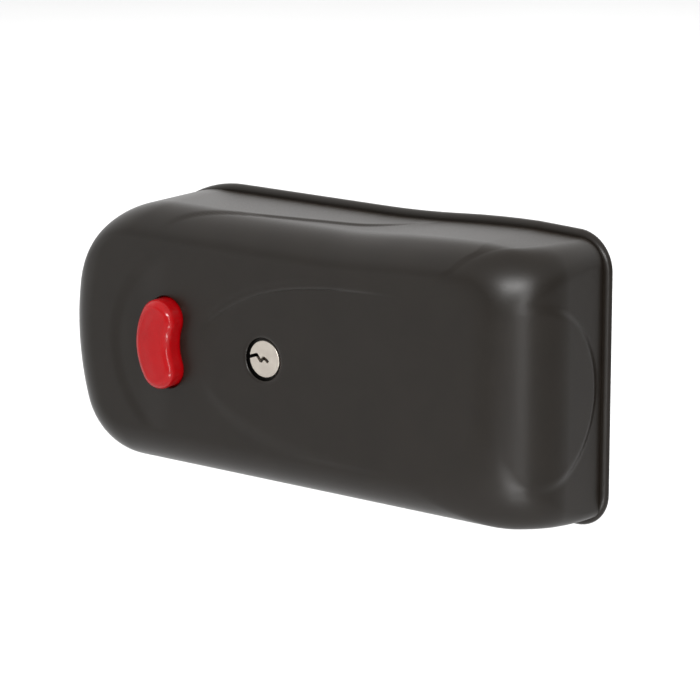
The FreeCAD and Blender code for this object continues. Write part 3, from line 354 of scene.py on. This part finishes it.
def front_relief(x, z):
    """How far the front face is pressed in at (x, z)."""
    x, z = np.asarray(x, float), np.asarray(z, float)
    upper = upper_sweep(np.maximum(x, -45.0))
    lower = -32.5 + 19.5 * np.exp(-(np.maximum(x, -50.0) + 36.0) / 24.0)
    share = np.clip((upper - z) / np.maximum(upper - lower, 4.0), 0, 1)
    tilt = 0.75 - 1.25 * share
    crease = smooth(z, upper + 0.2, upper - 1.3) * smooth(z, lower - 6.0, lower + 2.0)
    lip = 0.20 * np.exp(-((z - upper - 1.5) / 1.0) ** 2)
    groove = 0.42 * np.exp(-((z - upper + 0.5) / 0.5) ** 2)
    along = smooth(x, -40.0, -28.0) * smooth(x, 50.0, 16.0)
    tongue = along * (crease * tilt + groove - lip)
    bowl_r = np.hypot(x + 42.5, z + 3.0)
    bowl = 0.8 * smooth(bowl_r, 37.5, 33.0) * smooth(x, -52.0, -68.0)
    return tongue + bowl


def top_relief(x, y):
    """How far the top wall is pressed down in front of its crease."""
    left_bend, right_bend = np.minimum(x + 30.0, 0.0), np.maximum(x - 11.7, 0.0)
    crease_y = -22.2 + 0.20 * (x - 11.7) - 0.0078 * left_bend ** 2 + 0.019 * right_bend ** 2
    step = smooth(y, crease_y + 0.4, crease_y - 1.2)
    groove = np.exp(-((y - crease_y + 0.6) / 0.7) ** 2)
    return (0.55 * step + 0.2 * groove) * smooth(x, -64.0, -48.0) * smooth(x, 44.0, 16.0)


def side_relief(y, z):
    """How far the raised field stands out of the right-hand wall."""
    reach = np.hypot((y + 34.0) / 28.3, z / 31.0)
    field = smooth(reach, 1.05, 0.93)
    facet = 0.5 + 0.5 * smooth(y, -34.0, -23.5)
    return 0.9 * field * facet * smooth(y, -43.0, -33.0)


def outward(ring):
    """Unit normals of a ring that runs clockwise as seen from the front."""
    along = np.roll(ring, -1, axis=0) - np.roll(ring, 1, axis=0)
    along /= np.linalg.norm(along, axis=1)[:, None]
    return np.column_stack([-along[:, 1], along[:, 0]])


def cover_walls(skin, inset, levels, relief):
    """Rings of one skin of the cover, from the rim to the front face. Returns the rings' indices."""
    radius = EDGE_R - inset
    straight = [(y, 0.0) for y in levels]
    rounding = [(SIDE_END_Y, angle) for angle in np.linspace(0, 90, 25 if relief else 9)[1:]]
    rings, flat = [], None
    for y, angle in straight + rounding:
        turn = radians(angle)
        drawn = inset + radius * (1 - cos(turn))
        flat = case_ring(inset, drawn, y - radius * sin(turn))
        depth = np.full(len(flat), y - radius * sin(turn))
        points = np.column_stack([flat[:, 0], depth, flat[:, 1]])
        if relief:
            normal = outward(flat)
            push = np.where(normal[:, 0] > 0.7, side_relief(depth, flat[:, 1] - AXIS_Z), 0.0)
            push = push - np.where(normal[:, 1] > 0.7, top_relief(flat[:, 0], depth), 0.0) * cos(turn)
            push = push * cos(turn)
            points[:, 0] += normal[:, 0] * push
            points[:, 2] += normal[:, 1] * push
        rings.append(skin.add(points))
    for near, far in zip(rings, rings[1:]):
        skin.strip(near, far)
    return rings, flat


def hole_edge(skin, ring_of, roll, back_grow, depth_at):
    """Rolled edge of a hole: from the front face down over the roll, then back to the inner face.

    roll is how wide and how deep the roll is. Returns the hole's loops on the front and inner faces.
    """
    wide, deep = roll
    first = ring_of(wide)
    start = depth_at(first)
    loop = skin.add(np.column_stack([first[:, 0], start, first[:, 1]]))
    outer, rings = (first, loop), [loop]
    for angle in np.linspace(0, 90, 9)[1:]:
        turn = radians(angle)
        ring = ring_of(wide * (1 - sin(turn)))
        y = start + deep * (1 - cos(turn))
        rings.append(skin.add(np.column_stack([ring[:, 0], y, ring[:, 1]])))
    last = ring_of(back_grow)
    rings.append(skin.add(np.column_stack([last[:, 0], np.full(len(last), INNER_Y), last[:, 1]])))
    for near, far in zip(rings, rings[1:]):
        skin.strip(near, far)
    return outer, (last, rings[-1])


def threaded_stud(skin, x, z, start_y, length):
    """Weld stud with thread rings."""
    profile = [(0, 2.2), (0.5, 1.9), (0.8, 1.45)]
    turns = int((length - 1.6) / 0.5)
    for i in range(turns):
        along = 1.0 + 0.5 * i
        profile += [(along, 1.24), (along + 0.25, 1.5)]
    profile += [(length - 0.35, 1.2), (length, 0.9)]
    skin.lathe(profile, (x, start_y, z), (0, 1, 0), 24)


def block_skin(low, high):
    skin = Skin()
    corners = skin.add([(x, y, z) for x in (low[0], high[0]) for y in (low[1], high[1])
                        for z in (low[2], high[2])])
    for face in ((0, 1, 3, 2), (4, 6, 7, 5), (0, 4, 5, 1), (2, 3, 7, 6), (0, 2, 6, 4), (1, 5, 7, 3)):
        skin.faces.append(tuple(corners[i] for i in face))
    return skin


def slot_skin(x, half, y_end, z):
    """Upright slot form, open towards the wall, with a round end at y_end."""
    skin = Skin()
    bow = [(x + half * cos(radians(a)), y_end + half * sin(radians(a))) for a in range(180, 361, 15)]
    outline = bow + [(x + half, 2.0), (x - half, 2.0)]
    near = skin.add([(px, py, z[0]) for px, py in outline])
    far = skin.add([(px, py, z[1]) for px, py in outline])
    skin.strip(near, far)
    skin.faces += [tuple(near), tuple(far)]
    return skin


def build_front_cover():
    skin = Skin()
    outer_levels = np.linspace(RIM_Y, SIDE_END_Y, 55)
    inner_levels = np.linspace(RIM_Y, SIDE_END_Y, 8)
    outer, outer_front = cover_walls(skin, 0.0, outer_levels, True)
    inner, inner_front = cover_walls(skin, WALL, inner_levels, False)
    skin.strip(outer[0], inner[0])

    def face_depth(x, z):
        return FRONT_Y + front_relief(x, z)

    def ring_depth(ring):
        return face_depth(ring[:, 0], ring[:, 1])

    def key_ring(grow):
        return circle_ring(KEY_HOLE_R + grow)

    def cap_ring(grow):
        return kidney_ring(BUTTON_GAP + grow)

    back_grow = KEY_HOLE_BACK_R - KEY_HOLE_R
    key_front, key_back = hole_edge(skin, key_ring, KEY_HOLE_ROLL, back_grow, ring_depth)
    cap_front, cap_back = hole_edge(skin, cap_ring, (0.5, 0.5), 0.0, ring_depth)
    crest = crease_points()
    fill_between(skin, [(outer_front, outer[-1]), key_front, cap_front], 1.1, face_depth, crest)
    inner_loops = [(inner_front, inner[-1]), key_back, cap_back]
    fill_between(skin, inner_loops, 3.5, lambda x, z: np.full(len(x), INNER_Y))
    for z in (AXIS_Z + STUD_RISE, AXIS_Z - STUD_RISE):
        threaded_stud(skin, BUTTON_X, z, INNER_Y - 0.3, 6.3)
    cover = skin.finish("front_cover_shell")
    bolt_low, bolt_high = node_box("latch_bolt")
    notch_low = (NOTCH_X[0], bolt_low.y - 1, bolt_low.z - 1.5)
    notch_high = (NOTCH_X[1], 2, bolt_high.z + 1.5)
    cut(cover, block_skin(notch_low, notch_high), "latch_notch")
    for x, y in screw_places("cover_screws"):
        cut(cover, slot_skin(x, SLOT_HALF, y, SLOT_Z), "screw_slot")
    return cover


def screw_places(node):
    """Centre (x, y) of each upright screw in a node, found from its separate solids."""
    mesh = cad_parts[node].data
    low, high = node_box(node)
    middle = (low.x + high.x) / 2
    xs = np.array([v.co.x for v in mesh.vertices]) / MM
    places = []
    for group in (xs[xs < middle], xs[xs >= middle]):
        places.append(((group.min() + group.max()) / 2, (low.y + high.y) / 2))
    return places


# ---- Release button ------------------------------------------------------------------------------

def build_button_cap():
    """Hollow moulded cap with a crowned face, a soft edge and a retaining lip behind the cover."""
    skin = Skin()
    profile = [(CAP_SKIRT_Y, CAP_LIP), (CAP_SKIRT_Y - 1.1, CAP_LIP), (CAP_SKIRT_Y - 1.2, CAP_LIP - 0.1),
               (CAP_SKIRT_Y - 1.2, 0.1), (CAP_SKIRT_Y - 1.3, 0.0)]
    shoulder = CAP_FACE_Y + CAP_EDGE_R
    profile += [(y, 0.0) for y in np.linspace(CAP_SKIRT_Y - 1.5, shoulder, 6)]
    for angle in np.linspace(0, 90, 19)[1:]:
        turn = radians(angle)
        profile.append((shoulder - (CAP_EDGE_R - 0.25) * sin(turn), -CAP_EDGE_R * (1 - cos(turn))))
    rings, ring = [], None
    for y, grow in profile:
        ring = kidney_ring(grow)
        rings.append(skin.add(np.column_stack([ring[:, 0], np.full(len(ring), y), ring[:, 1]])))
    for near, far in zip(rings, rings[1:]):
        skin.strip(near, far)
    edge_y = profile[-1][0]

    def crown(x, z):
        inside = distance_to(ring, np.column_stack([x, z]))
        return edge_y - 0.25 * smooth(inside, 0, 4.0)

    fill_between(skin, [(ring, rings[-1])], 0.8, crown)
    floor_y = CAP_FACE_Y + CAP_WALL
    inner_rings = []
    for y in (CAP_SKIRT_Y, floor_y + 0.8, floor_y):
        inner = kidney_ring(-CAP_WALL - (0.6 if y == floor_y else 0))
        inner_rings.append(skin.add(np.column_stack([inner[:, 0], np.full(len(inner), y), inner[:, 1]])))
    for near, far in zip(inner_rings, inner_rings[1:]):
        skin.strip(near, far)
    fill_between(skin, [(inner, inner_rings[-1])], 2.0, lambda x, z: np.full(len(x), floor_y))
    skin.strip(inner_rings[0], rings[0])
    boss = [(0, 4.2), (4.0, 4.2), (4.2, 4.0), (4.2, 2.85), (0, 2.85)]
    skin.lathe(boss, (BUTTON_X, floor_y - 0.05, AXIS_Z), (0, 1, 0), 40, closed=True)
    return skin.finish("button_cap_moulding", 50)


# ---- Springs and winding -------------------------------------------------------------------------

def build_spring(name, node, axis, turns, wire_r):
    """Coil spring with closed end turns that fills a CAD node's box along the axis."""
    skin = Skin()
    add_spring(skin, *node_box(node), axis, turns, wire_r)
    return skin.finish(name)


def add_spring(skin, low, high, axis, turns, wire_r):
    """Adds a coil spring that fills the box from low to high."""
    along = Vector(axis)
    side = along.orthogonal().normalized()
    other = along.cross(side)
    middle = (low + high) / 2
    length = abs((high - low).dot(along))
    across = [high[i] - low[i] for i in range(3) if abs(along[i]) < 0.5]
    coil_r = min(across) / 2 - wire_r
    steps, sides = 40, 10
    travel = length - 2 * wire_r
    total = (turns + 2) * steps
    rings = []
    for i in range(total + 1):
        t = i / total
        closed = 2 * wire_r / travel
        end = 1 / (turns + 2)
        if t < end:
            height = closed * (t / end) * 0.95
        elif t > 1 - end:
            height = 1 - closed * ((1 - t) / end) * 0.95
        else:
            inner = (t - end) / (1 - 2 * end)
            height = 0.95 * closed + inner * (1 - 1.9 * closed)
        angle = 2 * pi * i / steps
        out = side * cos(angle) + other * sin(angle)
        centre = middle + along * (travel * (height - 0.5)) + out * coil_r
        rings.append(skin.add([centre + out * (wire_r * cos(2 * pi * k / sides))
                               + along * (wire_r * sin(2 * pi * k / sides)) for k in range(sides)]))
    for near, far in zip(rings, rings[1:]):
        skin.strip(near, far)
    skin.faces += [tuple(rings[0]), tuple(rings[-1])]


def build_pin_springs():
    """The five small springs behind the driver pins, one for each chamber."""
    low, high = node_box("pin_springs")
    skin = Skin()
    count = 5
    half = (high.z - low.z) / 2
    for i in range(count):
        y = low.y + half + i * (high.y - low.y - 2 * half) / (count - 1)
        chamber_low = Vector((low.x, y - half, low.z))
        chamber_high = Vector((high.x, y + half, high.z))
        add_spring(skin, chamber_low, chamber_high, (1, 0, 0), 4, 0.2)
    return skin.finish("pin_springs_wound")


def build_winding():
    """Copper winding between the bobbin's flanges, each turn a low ridge."""
    low, high = node_box("solenoid_coil")
    radius = (high.z - low.z) / 2
    inner_r = 6.7
    length = high.x - low.x
    turns = 46
    profile = [(0.0, inner_r), (0.0, radius - 0.9)]
    for i in range(turns):
        for part in (0.15, 0.5, 0.85):
            along = length * (i + part) / turns
            profile.append((along, radius - 0.75 + 0.18 * sin(pi * part)))
    profile += [(length, radius - 0.9), (length, inner_r)]
    skin = Skin()
    origin = (low.x, (low.y + high.y) / 2, (low.z + high.z) / 2)
    skin.lathe(profile, origin, (1, 0, 0), 96, closed=True)
    return skin.finish("solenoid_winding", 60)


def build_coil_tape():
    """Tape band round the middle of the winding."""
    low, high = node_box("solenoid_coil")
    radius = (high.z - low.z) / 2
    length = high.x - low.x
    start, end = length * 0.12, length * 0.88
    profile = [(start, radius - 0.6), (start + 0.05, radius - 0.18), (start + 0.3, radius - 0.12)]
    for part in np.linspace(0.1, 0.9, 17):
        ripple = 0.04 * sin(part * 31.0)
        profile.append((start + (end - start) * part, radius - 0.1 + ripple))
    profile += [(end - 0.3, radius - 0.12), (end - 0.05, radius - 0.18), (end, radius - 0.6)]
    skin = Skin()
    origin = (low.x, (low.y + high.y) / 2, (low.z + high.z) / 2)
    skin.lathe(profile, origin, (1, 0, 0), 96, closed=True)
    return skin.finish("coil_tape_band", 60)


# ---- Materials -----------------------------------------------------------------------------------

class Finish:
    """A procedural material. Its patterns are laid out in millimetres on the piece itself."""

    def __init__(self, name, **sockets):
        self.material = bpy.data.materials.new(name)
        self.material.use_nodes = True
        self.nodes = self.material.node_tree.nodes
        self.links = self.material.node_tree.links
        self.shader = self.nodes["Principled BSDF"]
        for socket, value in sockets.items():
            self.shader.inputs[socket.replace("_", " ")].default_value = value
        place = self.nodes.new("ShaderNodeTexCoord").outputs["Object"]
        scale = self.nodes.new("ShaderNodeVectorMath")
        scale.operation = "SCALE"
        scale.inputs["Scale"].default_value = 1 / MM
        self.links.new(place, scale.inputs[0])
        self.place = scale.outputs[0]
        self.heights = []

    def stretched(self, stretch):
        mapping = self.nodes.new("ShaderNodeMapping")
        mapping.inputs["Scale"].default_value = stretch
        self.links.new(self.place, mapping.inputs["Vector"])
        return mapping.outputs[0]

    def noise(self, size, detail=3.0, rough=0.55, stretch=(1, 1, 1)):
        """Noise whose largest blobs are about size millimetres wide."""
        node = self.nodes.new("ShaderNodeTexNoise")
        node.inputs["Scale"].default_value = 1 / size
        node.inputs["Detail"].default_value = detail
        node.inputs["Roughness"].default_value = rough
        self.links.new(self.stretched(stretch), node.inputs["Vector"])
        return node.outputs["Fac"]

    def cells(self, size):
        """Crystal-like cells about size millimetres wide."""
        node = self.nodes.new("ShaderNodeTexVoronoi")
        node.inputs["Scale"].default_value = 1 / size
        self.links.new(self.place, node.inputs["Vector"])
        return node.outputs["Distance"]

    def ramp(self, fac, low, high, out_low, out_high):
        node = self.nodes.new("ShaderNodeMapRange")
        values = {"From Min": low, "From Max": high, "To Min": out_low, "To Max": out_high}
        for name, value in values.items():
            node.inputs[name].default_value = value
        self.links.new(fac, node.inputs["Value"])
        return node.outputs["Result"]

    def colour(self, fac, dark, light, low=0.35, high=0.65):
        node = self.nodes.new("ShaderNodeValToRGB")
        first, last = node.color_ramp.elements
        first.position, last.position = low, high
        first.color, last.color = (*dark, 1), (*light, 1)
        self.links.new(fac, node.inputs["Fac"])
        self.links.new(node.outputs["Color"], self.shader.inputs["Base Color"])
        return self

    def roughness(self, fac, smooth_value, rough_value):
        level = self.ramp(fac, 0.3, 0.7, smooth_value, rough_value)
        self.links.new(level, self.shader.inputs["Roughness"])
        return self

    def bump(self, fac, height_mm):
        """Raises the surface by up to height_mm where fac is 1."""
        self.heights.append(self.ramp(fac, 0, 1, 0, height_mm * MM))
        return self

    def done(self):
        if self.heights:
            total = self.heights[0]
            for height in self.heights[1:]:
                node = self.nodes.new("ShaderNodeMath")
                node.operation = "ADD"
                self.links.new(total, node.inputs[0])
                self.links.new(height, node.inputs[1])
                total = node.outputs[0]
            bump = self.nodes.new("ShaderNodeBump")
            bump.inputs["Strength"].default_value = 1.0
            bump.inputs["Distance"].default_value = 1.0
            self.links.new(total, bump.inputs["Height"])
            self.links.new(bump.outputs["Normal"], self.shader.inputs["Normal"])
        return self.material


def case_paint():
    """Satin powder coat: dark warm grey, with a fine orange-peel texture."""
    finish = Finish("case_paint", IOR=1.42)
    peel, grain = finish.noise(1.6, 2.0), finish.noise(0.35, 2.0)
    finish.colour(finish.noise(14.0, 4.0), (0.0095, 0.0070, 0.0048), (0.0112, 0.0083, 0.0058))
    finish.roughness(grain, 0.30, 0.38)
    return finish.bump(peel, 0.010).bump(grain, 0.004).done()


def zinc_sheet():
    """Zinc-plated sheet with soft crystal patches and rolling lines."""
    finish = Finish("zinc_sheet", Metallic=1.0)
    finish.colour(finish.cells(5.0), (0.46, 0.47, 0.48), (0.60, 0.60, 0.58), 0.1, 0.7)
    lines = finish.noise(0.5, 3.0, 0.6, (0.05, 1, 1))
    finish.roughness(lines, 0.28, 0.45)
    return finish.bump(lines, 0.006).done()


def steel(name, dark, light, smooth_value, rough_value, grain=(1, 1, 1)):
    """Bare or plated steel with a directional grain and slight staining."""
    finish = Finish(name, Metallic=1.0)
    finish.colour(finish.noise(6.0, 5.0), dark, light)
    lines = finish.noise(0.4, 3.0, 0.6, grain)
    finish.roughness(lines, smooth_value, rough_value)
    return finish.bump(lines, 0.004).done()


def plastic(name, dark, light, smooth_value, rough_value, peel=0.006, size=0.5):
    """Moulded plastic with a faint flow pattern and texture."""
    finish = Finish(name)
    finish.colour(finish.noise(8.0, 3.0), dark, light)
    grain = finish.noise(size, 3.0)
    finish.roughness(grain, smooth_value, rough_value)
    return finish.bump(grain, peel).done()


def button_red():
    """Glossy red thermoplastic that lets a little light into its edges."""
    finish = Finish("button_red", IOR=1.42, Subsurface_Weight=0.08, Subsurface_Scale=0.002)
    finish.shader.inputs["Subsurface Radius"].default_value = (1.0, 0.15, 0.1)
    finish.colour(finish.noise(9.0, 3.0), (0.345, 0.001, 0.003), (0.39, 0.002, 0.004))
    grain = finish.noise(2.4, 2.0)
    finish.roughness(grain, 0.13, 0.19)
    return finish.bump(grain, 0.006).done()


def coil_winding():
    """Enamelled copper wire under a coat of varnish."""
    finish = Finish("coil_winding", Metallic=0.85, Coat_Weight=0.6, Coat_Roughness=0.12)
    finish.colour(finish.noise(3.0, 4.0, 0.6, (3, 1, 1)), (0.36, 0.13, 0.04), (0.55, 0.24, 0.08))
    finish.roughness(finish.noise(0.6), 0.2, 0.34)
    return finish.bump(finish.noise(0.3), 0.004).done()


# Darkest and lightest colour, then lowest and highest roughness, then grain or texture.
STEELS = {
    "screw_zinc": ((0.50, 0.50, 0.46), (0.66, 0.65, 0.60), 0.18, 0.34),
    "bolt_nickel": ((0.52, 0.50, 0.46), (0.64, 0.62, 0.58), 0.22, 0.36, (0.04, 1, 1)),
    "pin_steel": ((0.42, 0.42, 0.42), (0.56, 0.56, 0.55), 0.15, 0.30),
    "rod_steel": ((0.38, 0.38, 0.38), (0.50, 0.50, 0.49), 0.24, 0.42, (3, 0.2, 0.2)),
    "spring_steel": ((0.30, 0.31, 0.33), (0.44, 0.45, 0.46), 0.22, 0.36),
    # cylinder_dark makes the key cylinder's body near black so the gap round the plug reads as deep shade:
    # painted shade on the body
    "cylinder_dark": ((0.020, 0.019, 0.018), (0.034, 0.032, 0.030), 0.40, 0.55),
    "plug_nickel": ((0.66, 0.60, 0.53), (0.74, 0.68, 0.60), 0.36, 0.46),
    "pin_brass": ((0.60, 0.42, 0.16), (0.74, 0.55, 0.26), 0.18, 0.30),
}
PLASTICS = {
    "grommet_rubber": ((0.012, 0.012, 0.012), (0.022, 0.021, 0.020), 0.6, 0.8),
    "roller_nylon": ((0.70, 0.68, 0.62), (0.78, 0.77, 0.72), 0.4, 0.55),
    "bobbin_black": ((0.018, 0.018, 0.019), (0.028, 0.028, 0.028), 0.40, 0.55),
    "coil_tape": ((0.50, 0.30, 0.05), (0.62, 0.40, 0.09), 0.28, 0.42, 0.01, 1.2),
    "terminal_ivory": ((0.60, 0.57, 0.47), (0.68, 0.66, 0.57), 0.40, 0.52),
    "lead_black": ((0.014, 0.014, 0.014), (0.022, 0.022, 0.022), 0.30, 0.42),
}


def make_materials():
    """One material for each slot of the part."""
    made = {"case_paint": case_paint(), "zinc_sheet": zinc_sheet(), "button_red": button_red()}
    made.update({name: steel(name, *values) for name, values in STEELS.items()})
    made.update({name: plastic(name, *values) for name, values in PLASTICS.items()})
    return made


# ---- Pieces on their bodies ----------------------------------------------------------------------

def paint(piece, material):
    piece.data.materials.clear()
    piece.data.materials.append(material)


def place_piece(piece, body, replaced, material):
    """Puts a finished piece on its body, in place of the CAD node that it replaces, if any."""
    paint(piece, material)
    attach(piece, body)
    if replaced:
        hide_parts(replaced)


def finish_cad_nodes(materials):
    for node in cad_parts.values():
        for slot in node.material_slots:
            slot.material = materials[slot.material.name.split(".")[0]]


def place_springs(material):
    """The latch and button springs, each on a mesh of its own, and the pin springs."""
    spring = build_spring("latch_spring_wound", "latch_spring", (1, 0, 0), 8, 0.5)
    place_piece(spring, "base", "latch_spring", material)
    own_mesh(spring)
    spring = build_spring("button_spring_wound", "button_spring", (0, 1, 0), 5, 0.4)
    place_piece(spring, "cover", "button_spring", material)
    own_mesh(spring)
    place_piece(build_pin_springs(), "base", "pin_springs", material)


def place_pieces(materials):
    paint_skin, red, tape = (materials[name] for name in ("case_paint", "button_red", "coil_tape"))
    place_piece(build_front_cover(), "cover", "front_cover", paint_skin)
    place_piece(build_button_cap(), "button", "button_cap", red)
    place_piece(build_winding(), "base", "solenoid_coil", coil_winding())
    place_piece(build_coil_tape(), "base", None, tape)
    place_springs(materials["spring_steel"])


# ---- Stage, light and camera ---------------------------------------------------------------------

TARGET = Vector((13.91, -25.0, 3.13))
VIEW_AZIMUTH, VIEW_ELEVATION = 37.71, 13.51
CAMERA_DISTANCE = 1234.15
SENSOR = 36.0
FOCAL_PIXELS, FRAME_PIXELS = 3600.0, 700.0
FLOOR_DROP = 260.0
FLOOR_HALF = 9000.0
BACKDROP_HEIGHT = 1350.0

# Level of the surroundings, and what each axis adds to it: axis, where it starts, where it ends, gain.
WORLD_LEVEL = 0.36
WORLD_RAMPS = (("Z", 0.15, 0.55, 0.45), ("Y", 0.45, 0.80, 0.55), ("X", -0.50, -0.75, 0.45))


def direction(azimuth, elevation):
    """From the object towards a viewer: azimuth 0 is in front, 90 is on the +X side."""
    a, e = radians(azimuth), radians(elevation)
    return Vector((sin(a) * cos(e), -cos(a) * cos(e), sin(e)))


def aimed(name, data, azimuth, elevation, distance):
    """Puts a light or the camera on a sphere round the object, facing its middle."""
    thing = bpy.data.objects.new(name, data)
    bpy.context.scene.collection.objects.link(thing)
    thing.location = (TARGET + direction(azimuth, elevation) * distance) * MM
    thing.rotation_euler = (-direction(azimuth, elevation)).to_track_quat("-Z", "Y").to_euler()
    return thing


def add_camera():
    lens = bpy.data.cameras.new("camera")
    lens.sensor_width = SENSOR
    lens.lens = FOCAL_PIXELS * SENSOR / FRAME_PIXELS
    lens.clip_start, lens.clip_end = 0.05, 50.0
    bpy.context.scene.camera = aimed("camera", lens, VIEW_AZIMUTH, VIEW_ELEVATION, CAMERA_DISTANCE)


def add_softbox(name, azimuth, elevation, distance, width, height, watts):
    lamp = bpy.data.lights.new(name, "AREA")
    lamp.shape = "RECTANGLE"
    lamp.size, lamp.size_y = width * MM, height * MM
    lamp.energy = watts
    box = aimed(name, lamp, azimuth, elevation, distance)
    box.visible_camera = False
    return box


def add_floor():
    """Plain pale floor well below the object."""
    half = FLOOR_HALF
    z = cad_bounds[0][2] / MM - FLOOR_DROP
    mesh = bpy.data.meshes.new("floor")
    corners = [(-half, -half, z), (half, -half, z), (half, half, z), (-half, half, z)]
    mesh.from_pydata([(x * MM, y * MM, h * MM) for x, y, h in corners], [], [(0, 1, 2, 3)])
    floor = bpy.data.objects.new("floor", mesh)
    bpy.context.scene.collection.objects.link(floor)
    finish = Finish("floor_pale", Roughness=0.9)
    finish.colour(finish.noise(900.0), (0.40, 0.40, 0.40), (0.42, 0.42, 0.42))
    mesh.materials.append(finish.done())


def add_world():
    """Studio surroundings: dim in front and below, brighter overhead and to the left behind the object."""
    world = bpy.data.worlds.new("studio")
    bpy.context.scene.world = world
    world.use_nodes = True
    nodes, links = world.node_tree.nodes, world.node_tree.links
    split = nodes.new("ShaderNodeSeparateXYZ")
    links.new(nodes.new("ShaderNodeTexCoord").outputs["Generated"], split.inputs[0])
    level = None
    for axis, start, end, gain in WORLD_RAMPS:
        ramp = nodes.new("ShaderNodeMapRange")
        ramp.interpolation_type = "SMOOTHSTEP"
        values = {"From Min": start, "From Max": end, "To Min": 0.0, "To Max": gain}
        for name, value in values.items():
            ramp.inputs[name].default_value = value
        links.new(split.outputs[axis], ramp.inputs["Value"])
        total = nodes.new("ShaderNodeMath")
        total.operation = "ADD"
        total.inputs[1].default_value = WORLD_LEVEL
        links.new(ramp.outputs["Result"], total.inputs[0])
        if level:
            links.new(level.outputs[0], total.inputs[1])
        level = total
    links.new(level.outputs[0], nodes["Background"].inputs["Strength"])
    nodes["Background"].inputs["Color"].default_value = (1, 1, 1, 1)


def add_lights():
    add_softbox("key_softbox", 50, 5, 1700, 330, 1500, 10)
    add_softbox("corner_lamp", 32, 23, 1300, 620, 90, 8)
    add_softbox("low_lamp", 40, -33, 330, 150, 40, 0.2)
    add_softbox("front_card", -38, -2, 1500, 1700, 420, 1.0)
    glow = add_softbox("backdrop_light", VIEW_AZIMUTH + 180, 0, 1700, 2200, 2800, 105)
    glow.location.z = BACKDROP_HEIGHT * MM
    glow.rotation_euler = (0, 0, radians(VIEW_AZIMUTH))
    glow.visible_glossy = False


scene = bpy.context.scene
scene.view_settings.view_transform = "Standard"
materials = make_materials()
finish_cad_nodes(materials)
place_pieces(materials)
add_floor()
add_world()
add_lights()
add_camera()

bpy.context.view_layer.update()
